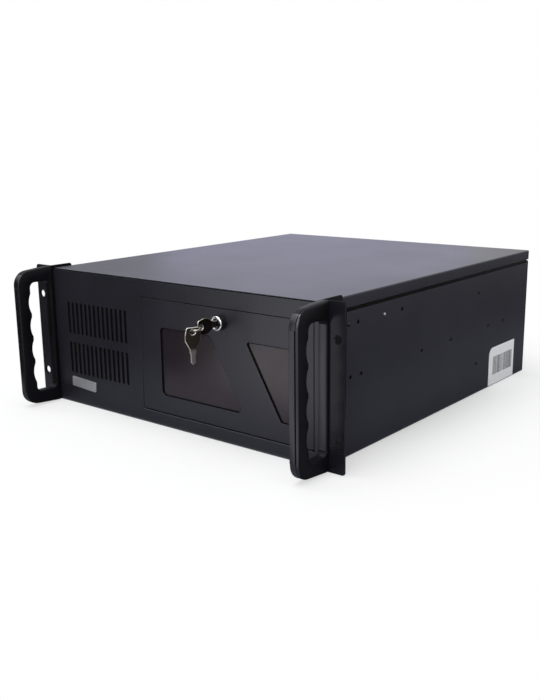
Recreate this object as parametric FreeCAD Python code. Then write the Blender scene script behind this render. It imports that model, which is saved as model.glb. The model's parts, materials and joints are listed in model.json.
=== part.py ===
import FreeCAD, Part
import math
import os

V = FreeCAD.Vector

# Rack-mount computer server, four rack units high, with a lockable front door.
# Millimetres. +X is right seen from the front, +Y runs to the rear, +Z is up.
# While modelling, y = 0 is the front face of the front panel and z = 0 the underside.
# The finished pieces are moved so that the origin is at the bottom centre of the whole part.

# Folded steel body
body_width = 425.0
body_depth = 492.5
sheet = 1.2
bend_radius = 1.5
side_shoulder = 158.5
side_step = 2.4
lid_flange = 10.0

# Lid
lid_top = 174.0
lid_sheet = 1.0
lid_skirt = 12.5
lid_side_inset = 0.3
lid_rear_overhang = 1.5
lid_rear_gap = 0.5
lid_front_gap = 0.5
thumbscrew_spread = 300.0
thumbscrew_head_radius = 5.0
thumbscrew_head_length = 8.0
thumbscrew_shank_radius = 2.0
thumbscrew_shank_length = 10.0
thumbscrew_drop = 6.5

# Front panel
panel_sheet = 1.5
panel_top_gap = 0.8
panel_return = 12.0
vent_count = 14
vent_pitch = 8.15
vent_width = 3.5
vent_length = 40.0
vent_corner = 1.2
vent_side_inset = 80.0
vent_upper_z = 112.5
vent_lower_z = 60.7

# Badge on the front panel
badge_length = 46.0
badge_height = 13.0
badge_thickness = 0.8
badge_corner = 2.0
badge_side_inset = 49.0
badge_z = 28.0
badge_tilt = 3.0

# Rack ears
ear_width = 28.8
rack_height = 177.0
rack_hole_inset = 8.75
rack_hole_spacing_z = 101.6
rack_hole_radius = 4.5
ear_sheet = 2.5
ear_proud = 4.0
ear_flange_end = 30.0
ear_corner = 3.0
ear_screw_y = 18.0
ear_screw_inset = 20.0

# Loop handles
handle_reach = 55.5
handle_thickness = 11.0
handle_overlap = 1.2
handle_taper = 4.0
handle_corner = 18.0
handle_edge = 1.6
handle_rear_bar = 3.0
handle_front_bar = 18.2
handle_end_bar = 18.0
handle_screw_inset = 10.0
handle_screw_grip = 12.0
slot_corner = 7.0
finger_count = 4
finger_pitch = 29.7
finger_chord = 25.0
finger_depth = 3.2

# Door and window
door_side_inset = 12.0
door_vent_gap = 27.0
door_bottom = 17.3
door_top = 152.0
door_sheet = 2.0
door_gap = 0.8
door_hinge_gap = 1.8
door_corner = 2.0
door_return = 8.0
window_bottom = 38.2
window_top = 120.0
window_left_inset = 32.2
window_right_inset = 31.5
window_slant = 47.6
window_band_inset = 62.5
window_band = 51.0
window_left_corner = 6.0
window_right_corner = 2.9
window_sheet = 2.0
window_lap = 7.0
hinge_height = 4.5
hinge_depth = 5.6
hinge_pin_radius = 2.0
hinge_collar_radius = 3.3
hinge_head = 1.5
strike_clearance = 0.4

# Lock and keys
lock_offset = 2.0
lock_z = 137.0
lock_collar_radius = 8.3
lock_proud = 9.0
lock_collar_chamfer = 1.5
lock_barrel_radius = 6.0
lock_barrel_length = 9.0
lock_plug_radius = 4.6
lock_nut_radius = 9.0
lock_nut_height = 3.5
lock_nut_corner = 0.5
cam_length = 22.0
cam_width = 9.0
cam_corner = 4.0
cam_sheet = 2.0
cam_screw_radius = 3.2
cam_screw_height = 2.0
key_thickness = 2.0
key_bow_length = 24.0
key_bow_height = 18.0
key_bow_end_height = 14.4
key_bow_swell = 8.4
key_bow_waist = 14.4
key_bow_corner = 3.0
key_neck_height = 7.8
key_neck_corner = 1.5
key_tip_corner = 0.8
key_shoulder = 4.0
key_blade_length = 13.0
key_blade_height = 6.0
key_hole_radius = 3.0
key_hole_inset = 5.0
ring_radius = 5.4
ring_wire = 0.7
ring_tilt = 4.0
ring_play = 0.6
spare_twist = 24.0

# Bay frame, bay covers and controls behind the door
frame_depth = 25.0
frame_side_margin = 3.0
frame_top_margin = 9.0
bay_count = 3
bay_width = 146.0
bay_height = 40.6
bay_pitch = 42.8
bay_right_margin = 9.0
bay_floor = 5.0
bay_cover_lip = 1.0
bay_cover_face = 2.5
bay_cover_depth = 10.0
control_inset = 30.5
power_z = 118.0
power_radius = 6.0
reset_z = 94.0
reset_radius = 3.5
button_proud = 4.0
button_flange = 1.5
button_flange_step = 1.5
button_travel = 3.0
button_stem_radius = 2.0
switch_wall = 2.0
switch_depth = 12.0
light_count = 3
light_pitch = 10.0
light_radius = 2.4
light_z = 74.0
light_proud = 1.5
light_length = 8.0
usb_z = 48.0
usb_width = 13.4
usb_height = 5.6
usb_pitch = 10.0
usb_wall = 1.2
usb_depth = 16.0

# Drive cage and hard drives
cage_depth = 150.0
cage_foot = 12.0
drive_width = 101.6
drive_height = 26.1
drive_length = 147.0
drive_count = 2
drive_gap = 8.0
drive_bracket_front = 52.0
drive_corner = 3.0
drive_rim = 4.0
drive_tail = 18.0
drive_recess = 1.0
drive_recess_corner = 8.0

# Fans
front_fan_size = 120.0
front_fan_depth = 25.0
front_fan_hub = 20.4
rear_fan_size = 80.0
rear_fan_depth = 25.0
rear_fan_rise = 16.0
cooler_fan_depth = 20.0
small_fan_hub = 13.6
fan_ring = 2.0
fan_tip_gap = 2.0
fan_hub_recess = 1.0
fan_blade = 1.6
fan_blade_pitch = 38.0
fan_blade_count = 7
fan_blade_root = 3.0
fan_shaft_radius = 1.5
fan_shaft_end_gap = 0.5
fan_motor_height = 5.0
fan_strut = 4.0
fan_hole_radius = 2.2
fan_hole_inset = 5.0
filter_depth = 5.0
filter_wall = 2.0
grille_ring_count = 4
grille_ring_first = 8.4
grille_ring_pitch = 7.3
grille_ring_width = 4.4
grille_spoke = 3.0

# Mainboard
board_psu_gap = 12.3
board_depth = 244.0
board_sheet = 1.6
board_side_gap = 11.3
board_rear_gap = 2.0
standoff_height = 6.5
standoff_radius = 3.0
standoff_inset = 10.0
io_width = 158.8
io_height = 44.5
io_right_inset = 6.0
io_drop = 1.0
shield_sheet = 0.8
shield_lap = 3.0
shield_foot = 1.0
shield_gap = 0.2
shield_hole_drop = 2.0
connector_gap = 6.0
connector_proud = 1.0
connector_reach = 12.0
connector_floor = 4.0
connector_pitch = 11.0
connector_mouth = 9.0
slot_pitch = 20.32
slot_first_gap = 14.0
slot_width = 14.0
slot_height = 100.0
slot_rise = 2.0
slot_cover_lap = 1.0
slot_cover_width = 18.4
slot_socket_width = 7.5
slot_socket_height = 11.0
slot_socket_length = 89.0
slot_socket_inset = 45.0
slot_slit_width = 2.0
slot_slit_depth = 7.0
slot_slit_end = 3.0
cooler_size = 90.0
cooler_side_inset = 75.0
cooler_rear_inset = 95.0
cooler_base = 6.0
cooler_fin_height = 36.0
cooler_fin_count = 15
cooler_fin_sheet = 1.0
cooler_foot_size = 40.0
cooler_foot_height = 5.0
memory_length = 133.4
memory_height = 31.0
memory_sheet = 3.6
memory_pitch = 10.0
memory_count = 4
memory_socket_height = 8.0
memory_socket_wall = 1.2
memory_clearance = 6.0
memory_front_inset = 8.0
memory_latch = 4.0
hold_bar_width = 25.0
hold_bar_z = 150.0
hold_bar_setback = 21.0

# Power supply
psu_width = 86.0
psu_height = 150.0
psu_length = 140.0
psu_side_gap = 8.0
psu_wall = 1.0
psu_board_margin = 4.0
psu_core = 36.0
psu_spreader = 55.0
psu_spreader_inset = 9.0
psu_opening_rim = 4.0
psu_louvre_count = 9
psu_louvre_pitch = 13.0
psu_louvre_height = 4.0
psu_louvre_start = 20.0
psu_louvre_inset = 14.0
psu_fan_depth = 20.0
psu_fan_side_gap = 3.0
psu_fan_top_gap = 3.0
inlet_width = 27.0
inlet_height = 20.0
inlet_wall = 2.0
inlet_depth = 17.0
inlet_offset = 12.0
inlet_drop = 30.0
inlet_blade_width = 2.0
inlet_blade_height = 4.0
inlet_blade_recess = 3.0
inlet_blade_places = [(-7.0, -1.5), (7.0, -1.5), (0.0, 2.5)]
rocker_offset = 22.0
rocker_width = 10.0
rocker_height = 15.0
rocker_depth = 8.0
rocker_angle = 8.0
rocker_pivot_radius = 1.2
rocker_end_play = 0.25
rocker_end_gap = 0.8
rocker_sink = 0.5
rocker_keel_drop = 1.5
rocker_keel_height = 8.2
rocker_keel_corner = 0.8
rocker_tip_corner = 0.4

# Screws and clearances; cutting shapes reach past the faces that they open
screw_radius = 2.0
screw_head_radius = 3.5
screw_head_height = 2.2
screw_gap = 0.05
running_gap = 0.05
moving_gap = 0.3
side_hole_radius = 2.2
screw_reach = 3.0
cut_reach = 1.0

# Rear connectors as (width, height, mouth width, mouth height), from the supply's side
connector_sizes = [
    (16.0, 26.0, 12.6, 5.6),
    (16.0, 26.0, 12.6, 5.6),
    (17.0, 15.0, 12.0, 8.0),
    (32.0, 12.5, 0, 0),
    (14.0, 14.0, 0, 0),
    (14.0, 36.0, 0, 0),
]
connector_mouth_counts = [2, 2, 1, 0, 0, 0]

# Places of holes in the body sides, as (distance behind the front panel, height)
cage_screw_places = [(44.6, 143.5), (113.3, 143.5)]
spare_cage_holes = [(62.3, 143.5), (151.0, 143.5)]
rail_holes = [(48.5, 86.6), (69.0, 86.6), (198.0, 86.6), (269.0, 86.6), (372.0, 86.6), (418.0, 86.6)]
support_holes = [(342.0, 41.0), (342.0, 134.0)]

# Worked-out places
half_width = body_width / 2
rack_width = body_width + 2 * ear_width
lid_under = lid_top - lid_sheet
lid_depth = body_depth + lid_rear_overhang
lid_half = half_width - lid_side_inset
panel_top = lid_under - panel_top_gap
upper_half = half_width - side_step
inner_half = half_width - sheet
ear_front = -ear_proud
rear_inner = body_depth - sheet
vent_centre_x = vent_side_inset - half_width
badge_x = badge_side_inset - half_width
door_left = vent_centre_x + vent_pitch * (vent_count - 1) / 2 + door_vent_gap
door_right = half_width - door_side_inset
window_left = door_left + window_left_inset
window_right = door_right - window_right_inset
window_band_left = window_right - window_band_inset
lock_x = (door_left + door_right) / 2 + lock_offset
control_x = door_left + control_inset
open_left = door_left - door_gap
open_right = door_right + door_gap
open_bottom = door_bottom - door_hinge_gap
open_top = door_top + door_gap
hinge_z = door_bottom + hinge_height
frame_front = panel_sheet
frame_back = panel_sheet + frame_depth
frame_left = open_left - frame_side_margin
frame_right = open_right + frame_side_margin
frame_low = open_bottom - frame_side_margin
frame_high = open_top + frame_top_margin
plate_front = frame_back - sheet
bay_right = frame_right - bay_right_margin
bay_left = bay_right - bay_width
bay_low = frame_low + bay_floor
board_low = sheet + standoff_height
board_top = board_low + board_sheet
board_rear = rear_inner - board_rear_gap
board_front = board_rear - board_depth
psu_right = inner_half - psu_side_gap
psu_left = psu_right - psu_width
psu_fan_size = psu_width - 2 * psu_fan_side_gap
board_left = board_side_gap - inner_half
board_right = psu_left - board_psu_gap
psu_front = rear_inner - psu_length
rear_reach = lid_rear_overhang + thumbscrew_head_length
origin_y = (body_depth + rear_reach - handle_reach) / 2


def box(x0, x1, y0, y1, z0, z1):
    """Block between two corners."""
    return Part.makeBox(x1 - x0, y1 - y0, z1 - z0, V(x0, y0, z0))


def rod(radius, length, start, along):
    """Round bar from a start point."""
    return Part.makeCylinder(radius, length, start, along)


def on_front(y):
    """Map a flat outline to (x, z) at depth y."""
    return lambda p: V(p.x, y, p.y)


def on_side(x):
    """Map a flat outline to (y, z) at place x."""
    return lambda p: V(x, p.x, p.y)


def on_floor(z):
    """Map a flat outline to (x, y) at height z."""
    return lambda p: V(p.x, p.y, z)


def rounded_face(corners, radii, place):
    """Flat face with straight sides, whose corners are rounded by the radii."""
    flat = [V(u, v, 0) for u, v in corners]
    turns = []
    for i, corner in enumerate(flat):
        before = flat[i - 1] - corner
        after = flat[(i + 1) % len(flat)] - corner
        before.normalize()
        after.normalize()
        half = before.getAngle(after) / 2
        middle = before + after
        middle.normalize()
        reach = radii[i] / math.tan(half)
        peak = corner + middle * (radii[i] / math.sin(half) - radii[i])
        turns.append((corner + before * reach, peak, corner + after * reach))
    edges = []
    for i, (start, peak, end) in enumerate(turns):
        if radii[i] > 0:
            edges.append(Part.Arc(place(start), place(peak), place(end)).toShape())
        following = turns[(i + 1) % len(turns)][0]
        edges.append(Part.makeLine(place(end), place(following)))
    return Part.Face(Part.Wire(edges))


def rounded_block(corners, radius, place, along):
    """Prism over an outline with all corners rounded alike."""
    return rounded_face(corners, [radius] * len(corners), place).extrude(along)


def rectangle(u0, u1, v0, v1):
    """Corners of a rectangle, in order."""
    return [(u0, v0), (u1, v0), (u1, v1), (u0, v1)]


def fuse(shapes):
    """One solid from touching shapes."""
    return shapes[0].fuse(shapes[1:]).removeSplitter()


def cut(shape, tools):
    """Shape with all the tools taken away."""
    return shape.cut(Part.makeCompound(tools)).removeSplitter()


def mirrored(shape):
    """The same piece on the other side of the middle plane."""
    return shape.mirror(V(0, 0, 0), V(1, 0, 0))


def both_sides(shapes):
    """Shapes and their mirror images."""
    return shapes + [mirrored(shape) for shape in shapes]


def screw(seat, along, length):
    """Pan-head screw whose head sits on the seat and whose shank runs along."""
    head = rod(screw_head_radius, screw_head_height, seat, along * -1)
    return head.fuse(rod(screw_radius, length, seat, along)).removeSplitter()


def screw_hole(seat, along, length):
    """Hole for a screw's shank."""
    return rod(screw_radius + screw_gap, length, seat, along)


# Fixings that the base tray shares with its neighbours
ear_screw_heights = [ear_screw_inset, side_shoulder - ear_screw_inset]
ear_screw_seats = [V(half_width + ear_sheet, ear_screw_y, z) for z in ear_screw_heights]
ear_screw_length = ear_sheet + sheet + screw_reach
cage_screw_seats = [V(half_width, y, z) for y, z in cage_screw_places]
cage_screw_length = sheet + screw_reach
to_right = V(1, 0, 0)
to_left = V(-1, 0, 0)
to_rear = V(0, 1, 0)
to_front = V(0, -1, 0)
upward = V(0, 0, 1)


def body_section():
    """Section of the folded tray: floor, sides, stepped shoulder and top flange."""
    right = [
        (half_width, 0),
        (half_width, side_shoulder),
        (upper_half, side_shoulder),
        (upper_half, lid_under),
        (upper_half - lid_flange, lid_under),
        (upper_half - lid_flange, lid_under - sheet),
        (upper_half - sheet, lid_under - sheet),
        (upper_half - sheet, side_shoulder - sheet),
        (inner_half, side_shoulder - sheet),
        (inner_half, sheet),
    ]
    radii = [bend_radius, bend_radius, 0, bend_radius, 0, 0, 0, 0, 0, 0]
    left = [(-x, z) for x, z in reversed(right)]
    return rounded_face(right + left, radii + radii[::-1], on_front(panel_sheet))


def make_base_tray():
    """Floor and sides in one folded sheet, with the screw and rail holes of the sides."""
    tray = body_section().extrude(V(0, rear_inner - panel_sheet, 0))
    tray = tray.common(box(-body_width, body_width, 0, rear_inner, -1, lid_top))
    holes = []
    for seat in ear_screw_seats:
        holes.append(screw_hole(seat, to_left, ear_screw_length))
    for seat in cage_screw_seats:
        holes.append(screw_hole(seat, to_left, cage_screw_length))
    for y, z in spare_cage_holes + rail_holes + support_holes:
        holes.append(rod(side_hole_radius, 2 * sheet, V(inner_half - sheet / 2, y, z), to_right))
    return cut(tray, both_sides(holes))


def make_lid():
    """Top sheet with side skirts and a rear lip that takes the thumbscrews."""
    skirt_low = lid_top - lid_skirt
    inner = lid_half - lid_sheet
    section = [
        (lid_half, skirt_low),
        (lid_half, lid_top),
        (-lid_half, lid_top),
        (-lid_half, skirt_low),
        (-inner, skirt_low),
        (-inner, lid_under),
        (inner, lid_under),
        (inner, skirt_low),
    ]
    radii = [0, bend_radius, bend_radius, 0, 0, 0, 0, 0]
    skirt_start = panel_sheet + lid_front_gap
    shell = rounded_face(section, radii, on_front(skirt_start)).extrude(V(0, lid_depth - skirt_start, 0))
    front_strip = box(-upper_half, upper_half, 0, skirt_start, lid_under, lid_top)
    lip = box(-inner, inner, lid_depth - lid_rear_overhang + lid_rear_gap, lid_depth, skirt_low, lid_under)
    lid = fuse([shell, front_strip, lip])
    holes = []
    for seat in thumbscrew_seats():
        holes.append(rod(thumbscrew_shank_radius + screw_gap, lid_rear_overhang, seat, to_front))
    return cut(lid, holes)


def thumbscrew_seats():
    """Points on the lid's rear lip where the thumbscrew heads sit."""
    z = lid_top - thumbscrew_drop
    return [V(side * thumbscrew_spread / 2, lid_depth, z) for side in (-1, 0, 1)]


def make_thumbscrews():
    """Knurled thumbscrews that hold the lid to the rear panel."""
    pieces = []
    for seat in thumbscrew_seats():
        head = rod(thumbscrew_head_radius, thumbscrew_head_length, seat, to_rear)
        shank = rod(thumbscrew_shank_radius, thumbscrew_shank_length, seat, to_front)
        pieces.append(head.fuse(shank).removeSplitter())
    return Part.makeCompound(pieces)


def vent_places():
    """Centres of the vent slots as (x, z)."""
    first = vent_centre_x - vent_pitch * (vent_count - 1) / 2
    return [(first + i * vent_pitch, z) for z in (vent_upper_z, vent_lower_z) for i in range(vent_count)]


def make_front_panel():
    """Front sheet with the vent slots, the door opening, folded edges and the lock's strike."""
    plate = box(-half_width, half_width, 0, panel_sheet, 0, panel_top)
    back = panel_sheet + panel_return
    side_in = inner_half - sheet
    top_reach = upper_half - lid_flange - moving_gap
    returns = both_sides([box(side_in, inner_half, panel_sheet, back, 2 * sheet, side_shoulder - 2 * sheet)])
    floor_reach = side_in - bend_radius
    returns.append(box(-floor_reach, floor_reach, panel_sheet, back, sheet, 2 * sheet))
    returns.append(box(-top_reach, top_reach, panel_sheet, back, panel_top - sheet, panel_top))
    strike_end = lock_barrel_length + door_sheet - strike_clearance
    strike_inset = 2 * door_corner
    returns.append(box(open_left + strike_inset, open_right - strike_inset, panel_sheet, strike_end,
                       open_top, open_top + sheet))
    panel = fuse([plate] + returns)
    through = V(0, 3 * panel_sheet, 0)
    opening = rectangle(open_left, open_right, open_bottom, open_top)
    tools = [rounded_block(opening, door_corner, on_front(-panel_sheet), through)]
    for x, z in vent_places():
        half_w = vent_width / 2
        half_l = vent_length / 2
        slot = rectangle(x - half_w, x + half_w, z - half_l, z + half_l)
        tools.append(rounded_block(slot, vent_corner, on_front(-panel_sheet), through))
    return cut(panel, tools)


def make_badge_plate():
    """Bare badge plate glued to the panel, a little out of level."""
    half_l = badge_length / 2
    half_h = badge_height / 2
    outline = rectangle(-half_l, half_l, -half_h, half_h)
    plate = rounded_block(outline, badge_corner, on_front(0), V(0, -badge_thickness, 0))
    plate.rotate(V(0, 0, 0), V(0, 1, 0), badge_tilt)
    plate.translate(V(badge_x, 0, badge_z))
    return plate


def handle_screw_seats():
    """Points behind the right ear where the handle's screws sit."""
    x = half_width + ear_sheet + screw_head_radius + 2 * running_gap
    y = ear_front + ear_sheet
    heights = [handle_screw_inset, rack_height - handle_screw_inset]
    return [V(x, y, z) for z in heights]


handle_screw_length = ear_sheet + handle_screw_grip


def make_ear():
    """Right rack ear: an angle with the rack holes in front and a flange on the body side."""
    back = ear_front + ear_sheet
    flange = half_width + ear_sheet
    ear_edge = rack_width / 2
    section = [
        (half_width, ear_front),
        (ear_edge, ear_front),
        (ear_edge, back),
        (flange, back),
        (flange, ear_flange_end),
        (half_width, ear_flange_end),
    ]
    radii = [ear_sheet, 0, 0, 0, 0, 0]
    angle = rounded_face(section, radii, on_floor(0)).extrude(V(0, 0, rack_height))
    outline = rectangle(0, ear_edge, 0, rack_height)
    ear = angle.common(rounded_block(outline, ear_corner, on_front(ear_front), V(0, body_depth, 0)))
    side = rectangle(ear_front - handle_reach, ear_flange_end, 0, rack_height)
    ear = ear.common(rounded_block(side, ear_corner, on_side(0), V(rack_width, 0, 0)))
    tools = []
    for sign in (-1, 1):
        z = rack_height / 2 + sign * rack_hole_spacing_z / 2
        place = V(ear_edge - rack_hole_inset, ear_front - ear_sheet, z)
        tools.append(rod(rack_hole_radius, 3 * ear_sheet, place, to_rear))
    for seat in handle_screw_seats():
        tools.append(screw_hole(seat, to_front, 2 * ear_sheet))
    for seat in ear_screw_seats:
        tools.append(screw_hole(seat, to_left, ear_screw_length))
    return cut(ear, tools)


def make_handle():
    """Right loop handle: a tapered loop plate with four finger recesses inside its grip."""
    inner_x = half_width - handle_overlap
    rear = ear_front
    front = -handle_reach
    outline = [
        (rear, 0),
        (rear, rack_height),
        (front, rack_height - handle_taper),
        (front, handle_taper),
    ]
    radii = [0, 0, handle_corner, handle_corner]
    loop = rounded_face(outline, radii, on_side(inner_x)).extrude(V(handle_thickness, 0, 0))
    front_edges = [edge for edge in loop.Edges if rim_edge(edge, rear)]
    loop = loop.makeFillet(handle_edge, front_edges)
    slot_rear = rear - handle_rear_bar
    slot_front = front + handle_front_bar
    slot = rectangle(slot_front, slot_rear, handle_end_bar, rack_height - handle_end_bar)
    across = V(handle_thickness + 2 * cut_reach, 0, 0)
    tools = [rounded_block(slot, slot_corner, on_side(inner_x - cut_reach), across)]
    finger_radius = (finger_chord ** 2 / 4 + finger_depth ** 2) / (2 * finger_depth)
    for i in range(finger_count):
        z = rack_height / 2 + (i - (finger_count - 1) / 2) * finger_pitch
        centre = V(inner_x - cut_reach, slot_front - finger_depth + finger_radius, z)
        recess = rod(finger_radius, across.x, centre, to_right)
        near = box(centre.x, centre.x + across.x, front, slot_front + cut_reach, 0, rack_height)
        tools.append(recess.common(near))
    for seat in handle_screw_seats():
        tools.append(screw_hole(seat, to_front, handle_screw_length))
    return cut(loop, tools)


def rim_edge(edge, rear):
    """True for an edge of the handle's outer rim, away from its seat on the ear."""
    middle = edge.valueAt((edge.FirstParameter + edge.LastParameter) / 2)
    return middle.y < rear - handle_edge and abs(edge.tangentAt(edge.FirstParameter).x) < 0.5


def make_pan_head_screws():
    """Like screws of the handles, the ears, the drive cage's sides and the slot covers."""
    pieces = [screw(seat, to_front, handle_screw_length) for seat in handle_screw_seats()]
    pieces += [screw(seat, to_left, ear_screw_length) for seat in ear_screw_seats]
    pieces += [screw(seat, to_left, cage_screw_length) for seat in cage_screw_seats]
    pieces = both_sides(pieces)
    pieces += [screw(seat, to_front, slot_screw_length) for seat in slot_screw_seats()]
    return Part.makeCompound(pieces)


def window_outlines():
    """The two window cut-outs of the door, with a slanted band between them."""
    near_foot = window_band_left
    far_foot = window_band_left + window_band
    left = [
        (window_left, window_bottom),
        (near_foot, window_bottom),
        (near_foot - window_slant, window_top),
        (window_left, window_top),
    ]
    right = [
        (far_foot, window_bottom),
        (window_right, window_bottom),
        (window_right, window_top),
        (far_foot - window_slant, window_top),
    ]
    return left, right


def make_front_door():
    """Door sheet with folded edges, window cut-outs, the lock hole and hinge holes."""
    outline = rectangle(door_left, door_right, door_bottom, door_top)
    plate = rounded_block(outline, door_corner, on_front(0), V(0, door_sheet, 0))
    back = door_sheet + door_return
    side_top = door_top - door_corner
    sides = [
        box(door_left, door_left + panel_sheet, door_sheet, back, door_bottom + door_corner, side_top),
        box(door_right - panel_sheet, door_right, door_sheet, back, door_bottom + door_corner, side_top),
        box(door_left + door_corner, door_right - door_corner, door_sheet, back,
            door_top - panel_sheet, door_top),
    ]
    door = fuse([plate] + sides)
    left, right = window_outlines()
    through = V(0, 3 * door_sheet, 0)
    tools = [
        rounded_block(left, window_left_corner, on_front(-door_sheet), through),
        rounded_block(right, window_right_corner, on_front(-door_sheet), through),
        rod(lock_barrel_radius + screw_gap, 3 * door_sheet, V(lock_x, -door_sheet, lock_z), to_rear),
        rod(hinge_pin_radius + running_gap, door_right - door_left + 2 * cut_reach,
            V(door_left - cut_reach, hinge_depth, hinge_z), to_right),
    ]
    return cut(door, tools)


def make_door_window():
    """Smoked sheet fixed behind both cut-outs."""
    return box(window_left - window_lap, window_right + window_lap, door_sheet, door_sheet + window_sheet,
               window_bottom - window_lap, window_top + window_lap)


def make_hinge_pins():
    """Shouldered pins that carry the door's folded sides on the bay frame."""
    pieces = []
    for edge, wall, inward in ((door_left, frame_left, to_right), (door_right, frame_right, to_left)):
        start = V(wall, hinge_depth, hinge_z) - inward * sheet
        gap = abs(edge - wall) - running_gap
        shank = rod(hinge_pin_radius, sheet + gap + panel_sheet + 3 * running_gap, start, inward)
        collar = rod(hinge_collar_radius, gap, V(wall, hinge_depth, hinge_z), inward)
        head_start = V(edge, hinge_depth, hinge_z) + inward * (panel_sheet + running_gap)
        head = rod(hinge_collar_radius, hinge_head, head_start, inward)
        pieces.append(fuse([shank, collar, head]))
    return Part.makeCompound(pieces)


lock_end = door_sheet + lock_barrel_length
cam_front = lock_end + running_gap


def make_lock():
    """Lock housing with its collar, the nut behind the door, the plug and the cam."""
    centre = V(lock_x, 0, lock_z)
    collar = rod(lock_collar_radius, lock_proud, centre, to_front)
    rim = [edge for edge in collar.Edges if edge.BoundBox.YMax < -lock_proud / 2 and len(edge.Vertexes) == 1]
    collar = collar.makeChamfer(lock_collar_chamfer, rim)
    barrel = rod(lock_barrel_radius, lock_end, centre, to_rear)
    bore_start = V(lock_x, -2 * lock_proud, lock_z)
    bore = rod(lock_plug_radius + running_gap, 4 * lock_proud + lock_end, bore_start, to_rear)
    housing = fuse([collar, barrel]).cut(bore)
    hexagon = []
    for i in range(6):
        angle = math.radians(60 * i)
        across = lock_nut_radius * math.cos(angle)
        rise = lock_nut_radius * math.sin(angle)
        hexagon.append((lock_x + across, lock_z + rise))
    nut = rounded_block(hexagon, lock_nut_corner, on_front(door_sheet), V(0, lock_nut_height, 0))
    thread = rod(lock_barrel_radius + screw_gap, lock_nut_height, V(lock_x, door_sheet, lock_z), to_rear)
    nut = nut.cut(thread)
    plug_front = -lock_proud - 3 * running_gap
    plug = rod(lock_plug_radius, cam_front - plug_front, V(lock_x, plug_front, lock_z), to_rear)
    slot_half = key_thickness / 2 + running_gap
    slot_rise = key_blade_height / 2 + running_gap
    slot_end = plug_front + key_blade_length + running_gap
    keyway = box(lock_x - slot_half, lock_x + slot_half, plug_front - cut_reach, slot_end,
                 lock_z - slot_rise, lock_z + slot_rise)
    plug = plug.cut(keyway)
    half = cam_width / 2
    lever = rectangle(lock_x - half, lock_x + cam_length, lock_z - half, lock_z + half)
    cam = rounded_block(lever, cam_corner, on_front(cam_front), V(0, cam_sheet, 0))
    cam_screw = rod(cam_screw_radius, cam_screw_height, V(lock_x, cam_front + cam_sheet, lock_z), to_rear)
    return {"lock_housing": housing, "lock_nut": nut, "lock_plug": plug,
            "lock_cam": Part.makeCompound([cam, cam_screw])}


def key_blank():
    """Flat key along +Y, with the tip of its bow at the origin and its face across X."""
    half = key_bow_height / 2
    bow_end = key_bow_end_height / 2
    blade = key_blade_height / 2
    neck = key_neck_height / 2
    shoulder = key_bow_length + key_shoulder
    end = shoulder + key_blade_length
    upper = [
        (0, bow_end),
        (key_bow_swell, half),
        (key_bow_waist, half),
        (key_bow_length, neck),
        (shoulder, neck),
        (shoulder, blade),
        (end - blade, blade),
    ]
    lower = [(y, -z) for y, z in reversed(upper)]
    bow = key_bow_corner
    corners = [bow, bow, bow, key_neck_corner, 0, 0, key_tip_corner]
    outline = upper + [(end, 0)] + lower
    radii = corners + [key_tip_corner] + corners[::-1]
    key = rounded_face(outline, radii, on_side(-key_thickness / 2)).extrude(V(key_thickness, 0, 0))
    hole = rod(key_hole_radius, 2 * key_thickness, V(-key_thickness, key_hole_inset, 0), to_right)
    return key.cut(hole)


def make_keys():
    """Key in the lock, its ring, and the spare key that hangs from the ring."""
    key = key_blank()
    bow_tip = -lock_proud - 3 * running_gap - key_bow_length - key_shoulder
    key.translate(V(lock_x, bow_tip, lock_z))
    tilt = math.radians(ring_tilt)
    outward = V(0, -math.cos(tilt), -math.sin(tilt))
    hole = V(lock_x, bow_tip + key_hole_inset, lock_z)
    slack = key_hole_radius - ring_wire - ring_play
    seat = hole + outward * slack
    ring = Part.makeTorus(ring_radius, ring_wire, seat + outward * ring_radius, to_right.cross(outward))
    hang = seat + outward * (2 * ring_radius)
    spare = key_blank()
    spare.translate(V(0, -key_hole_inset, 0))
    spare.rotate(V(0, 0, 0), to_right, -90)
    spare.translate(V(0, 0, -slack))
    spare.rotate(V(0, 0, 0), upward, -spare_twist)
    spare.translate(hang)
    return {"key": key, "key_ring": ring, "spare_key": spare}


def bay_openings():
    """The bay openings of the frame plate as (low, high) heights."""
    return [(bay_low + i * bay_pitch, bay_low + i * bay_pitch + bay_height) for i in range(bay_count)]


usb_places = [usb_z + (i - 0.5) * usb_pitch for i in range(2)]
light_places = [control_x + (i - (light_count - 1) / 2) * light_pitch for i in range(light_count)]
buttons = {"power": (power_z, power_radius), "reset": (reset_z, reset_radius)}


def make_bay_frame():
    """Sunk frame behind the door, whose plate holds the bays and the controls."""
    outer = box(frame_left - sheet, frame_right + sheet, frame_front, frame_back,
                frame_low - sheet, frame_high + sheet)
    frame = outer.cut(box(frame_left, frame_right, frame_front, plate_front, frame_low, frame_high))
    near = plate_front - cut_reach
    far = frame_back + cut_reach
    tools = []
    for low, high in bay_openings():
        tools.append(box(bay_left, bay_right, near, far, low, high))
    for z, radius in buttons.values():
        tools.append(rod(radius + moving_gap, far - near, V(control_x, near, z), to_rear))
    for x in light_places:
        tools.append(rod(light_radius + screw_gap, far - near, V(x, near, light_z), to_rear))
    for z in usb_places:
        tools.append(box(control_x - usb_width / 2, control_x + usb_width / 2, near, far,
                         z - usb_height / 2, z + usb_height / 2))
    pin_start = V(frame_left - 2 * sheet, hinge_depth, hinge_z)
    pin_span = frame_right - frame_left + 4 * sheet
    tools.append(rod(hinge_pin_radius + screw_gap, pin_span, pin_start, to_right))
    return cut(frame, tools)


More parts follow.
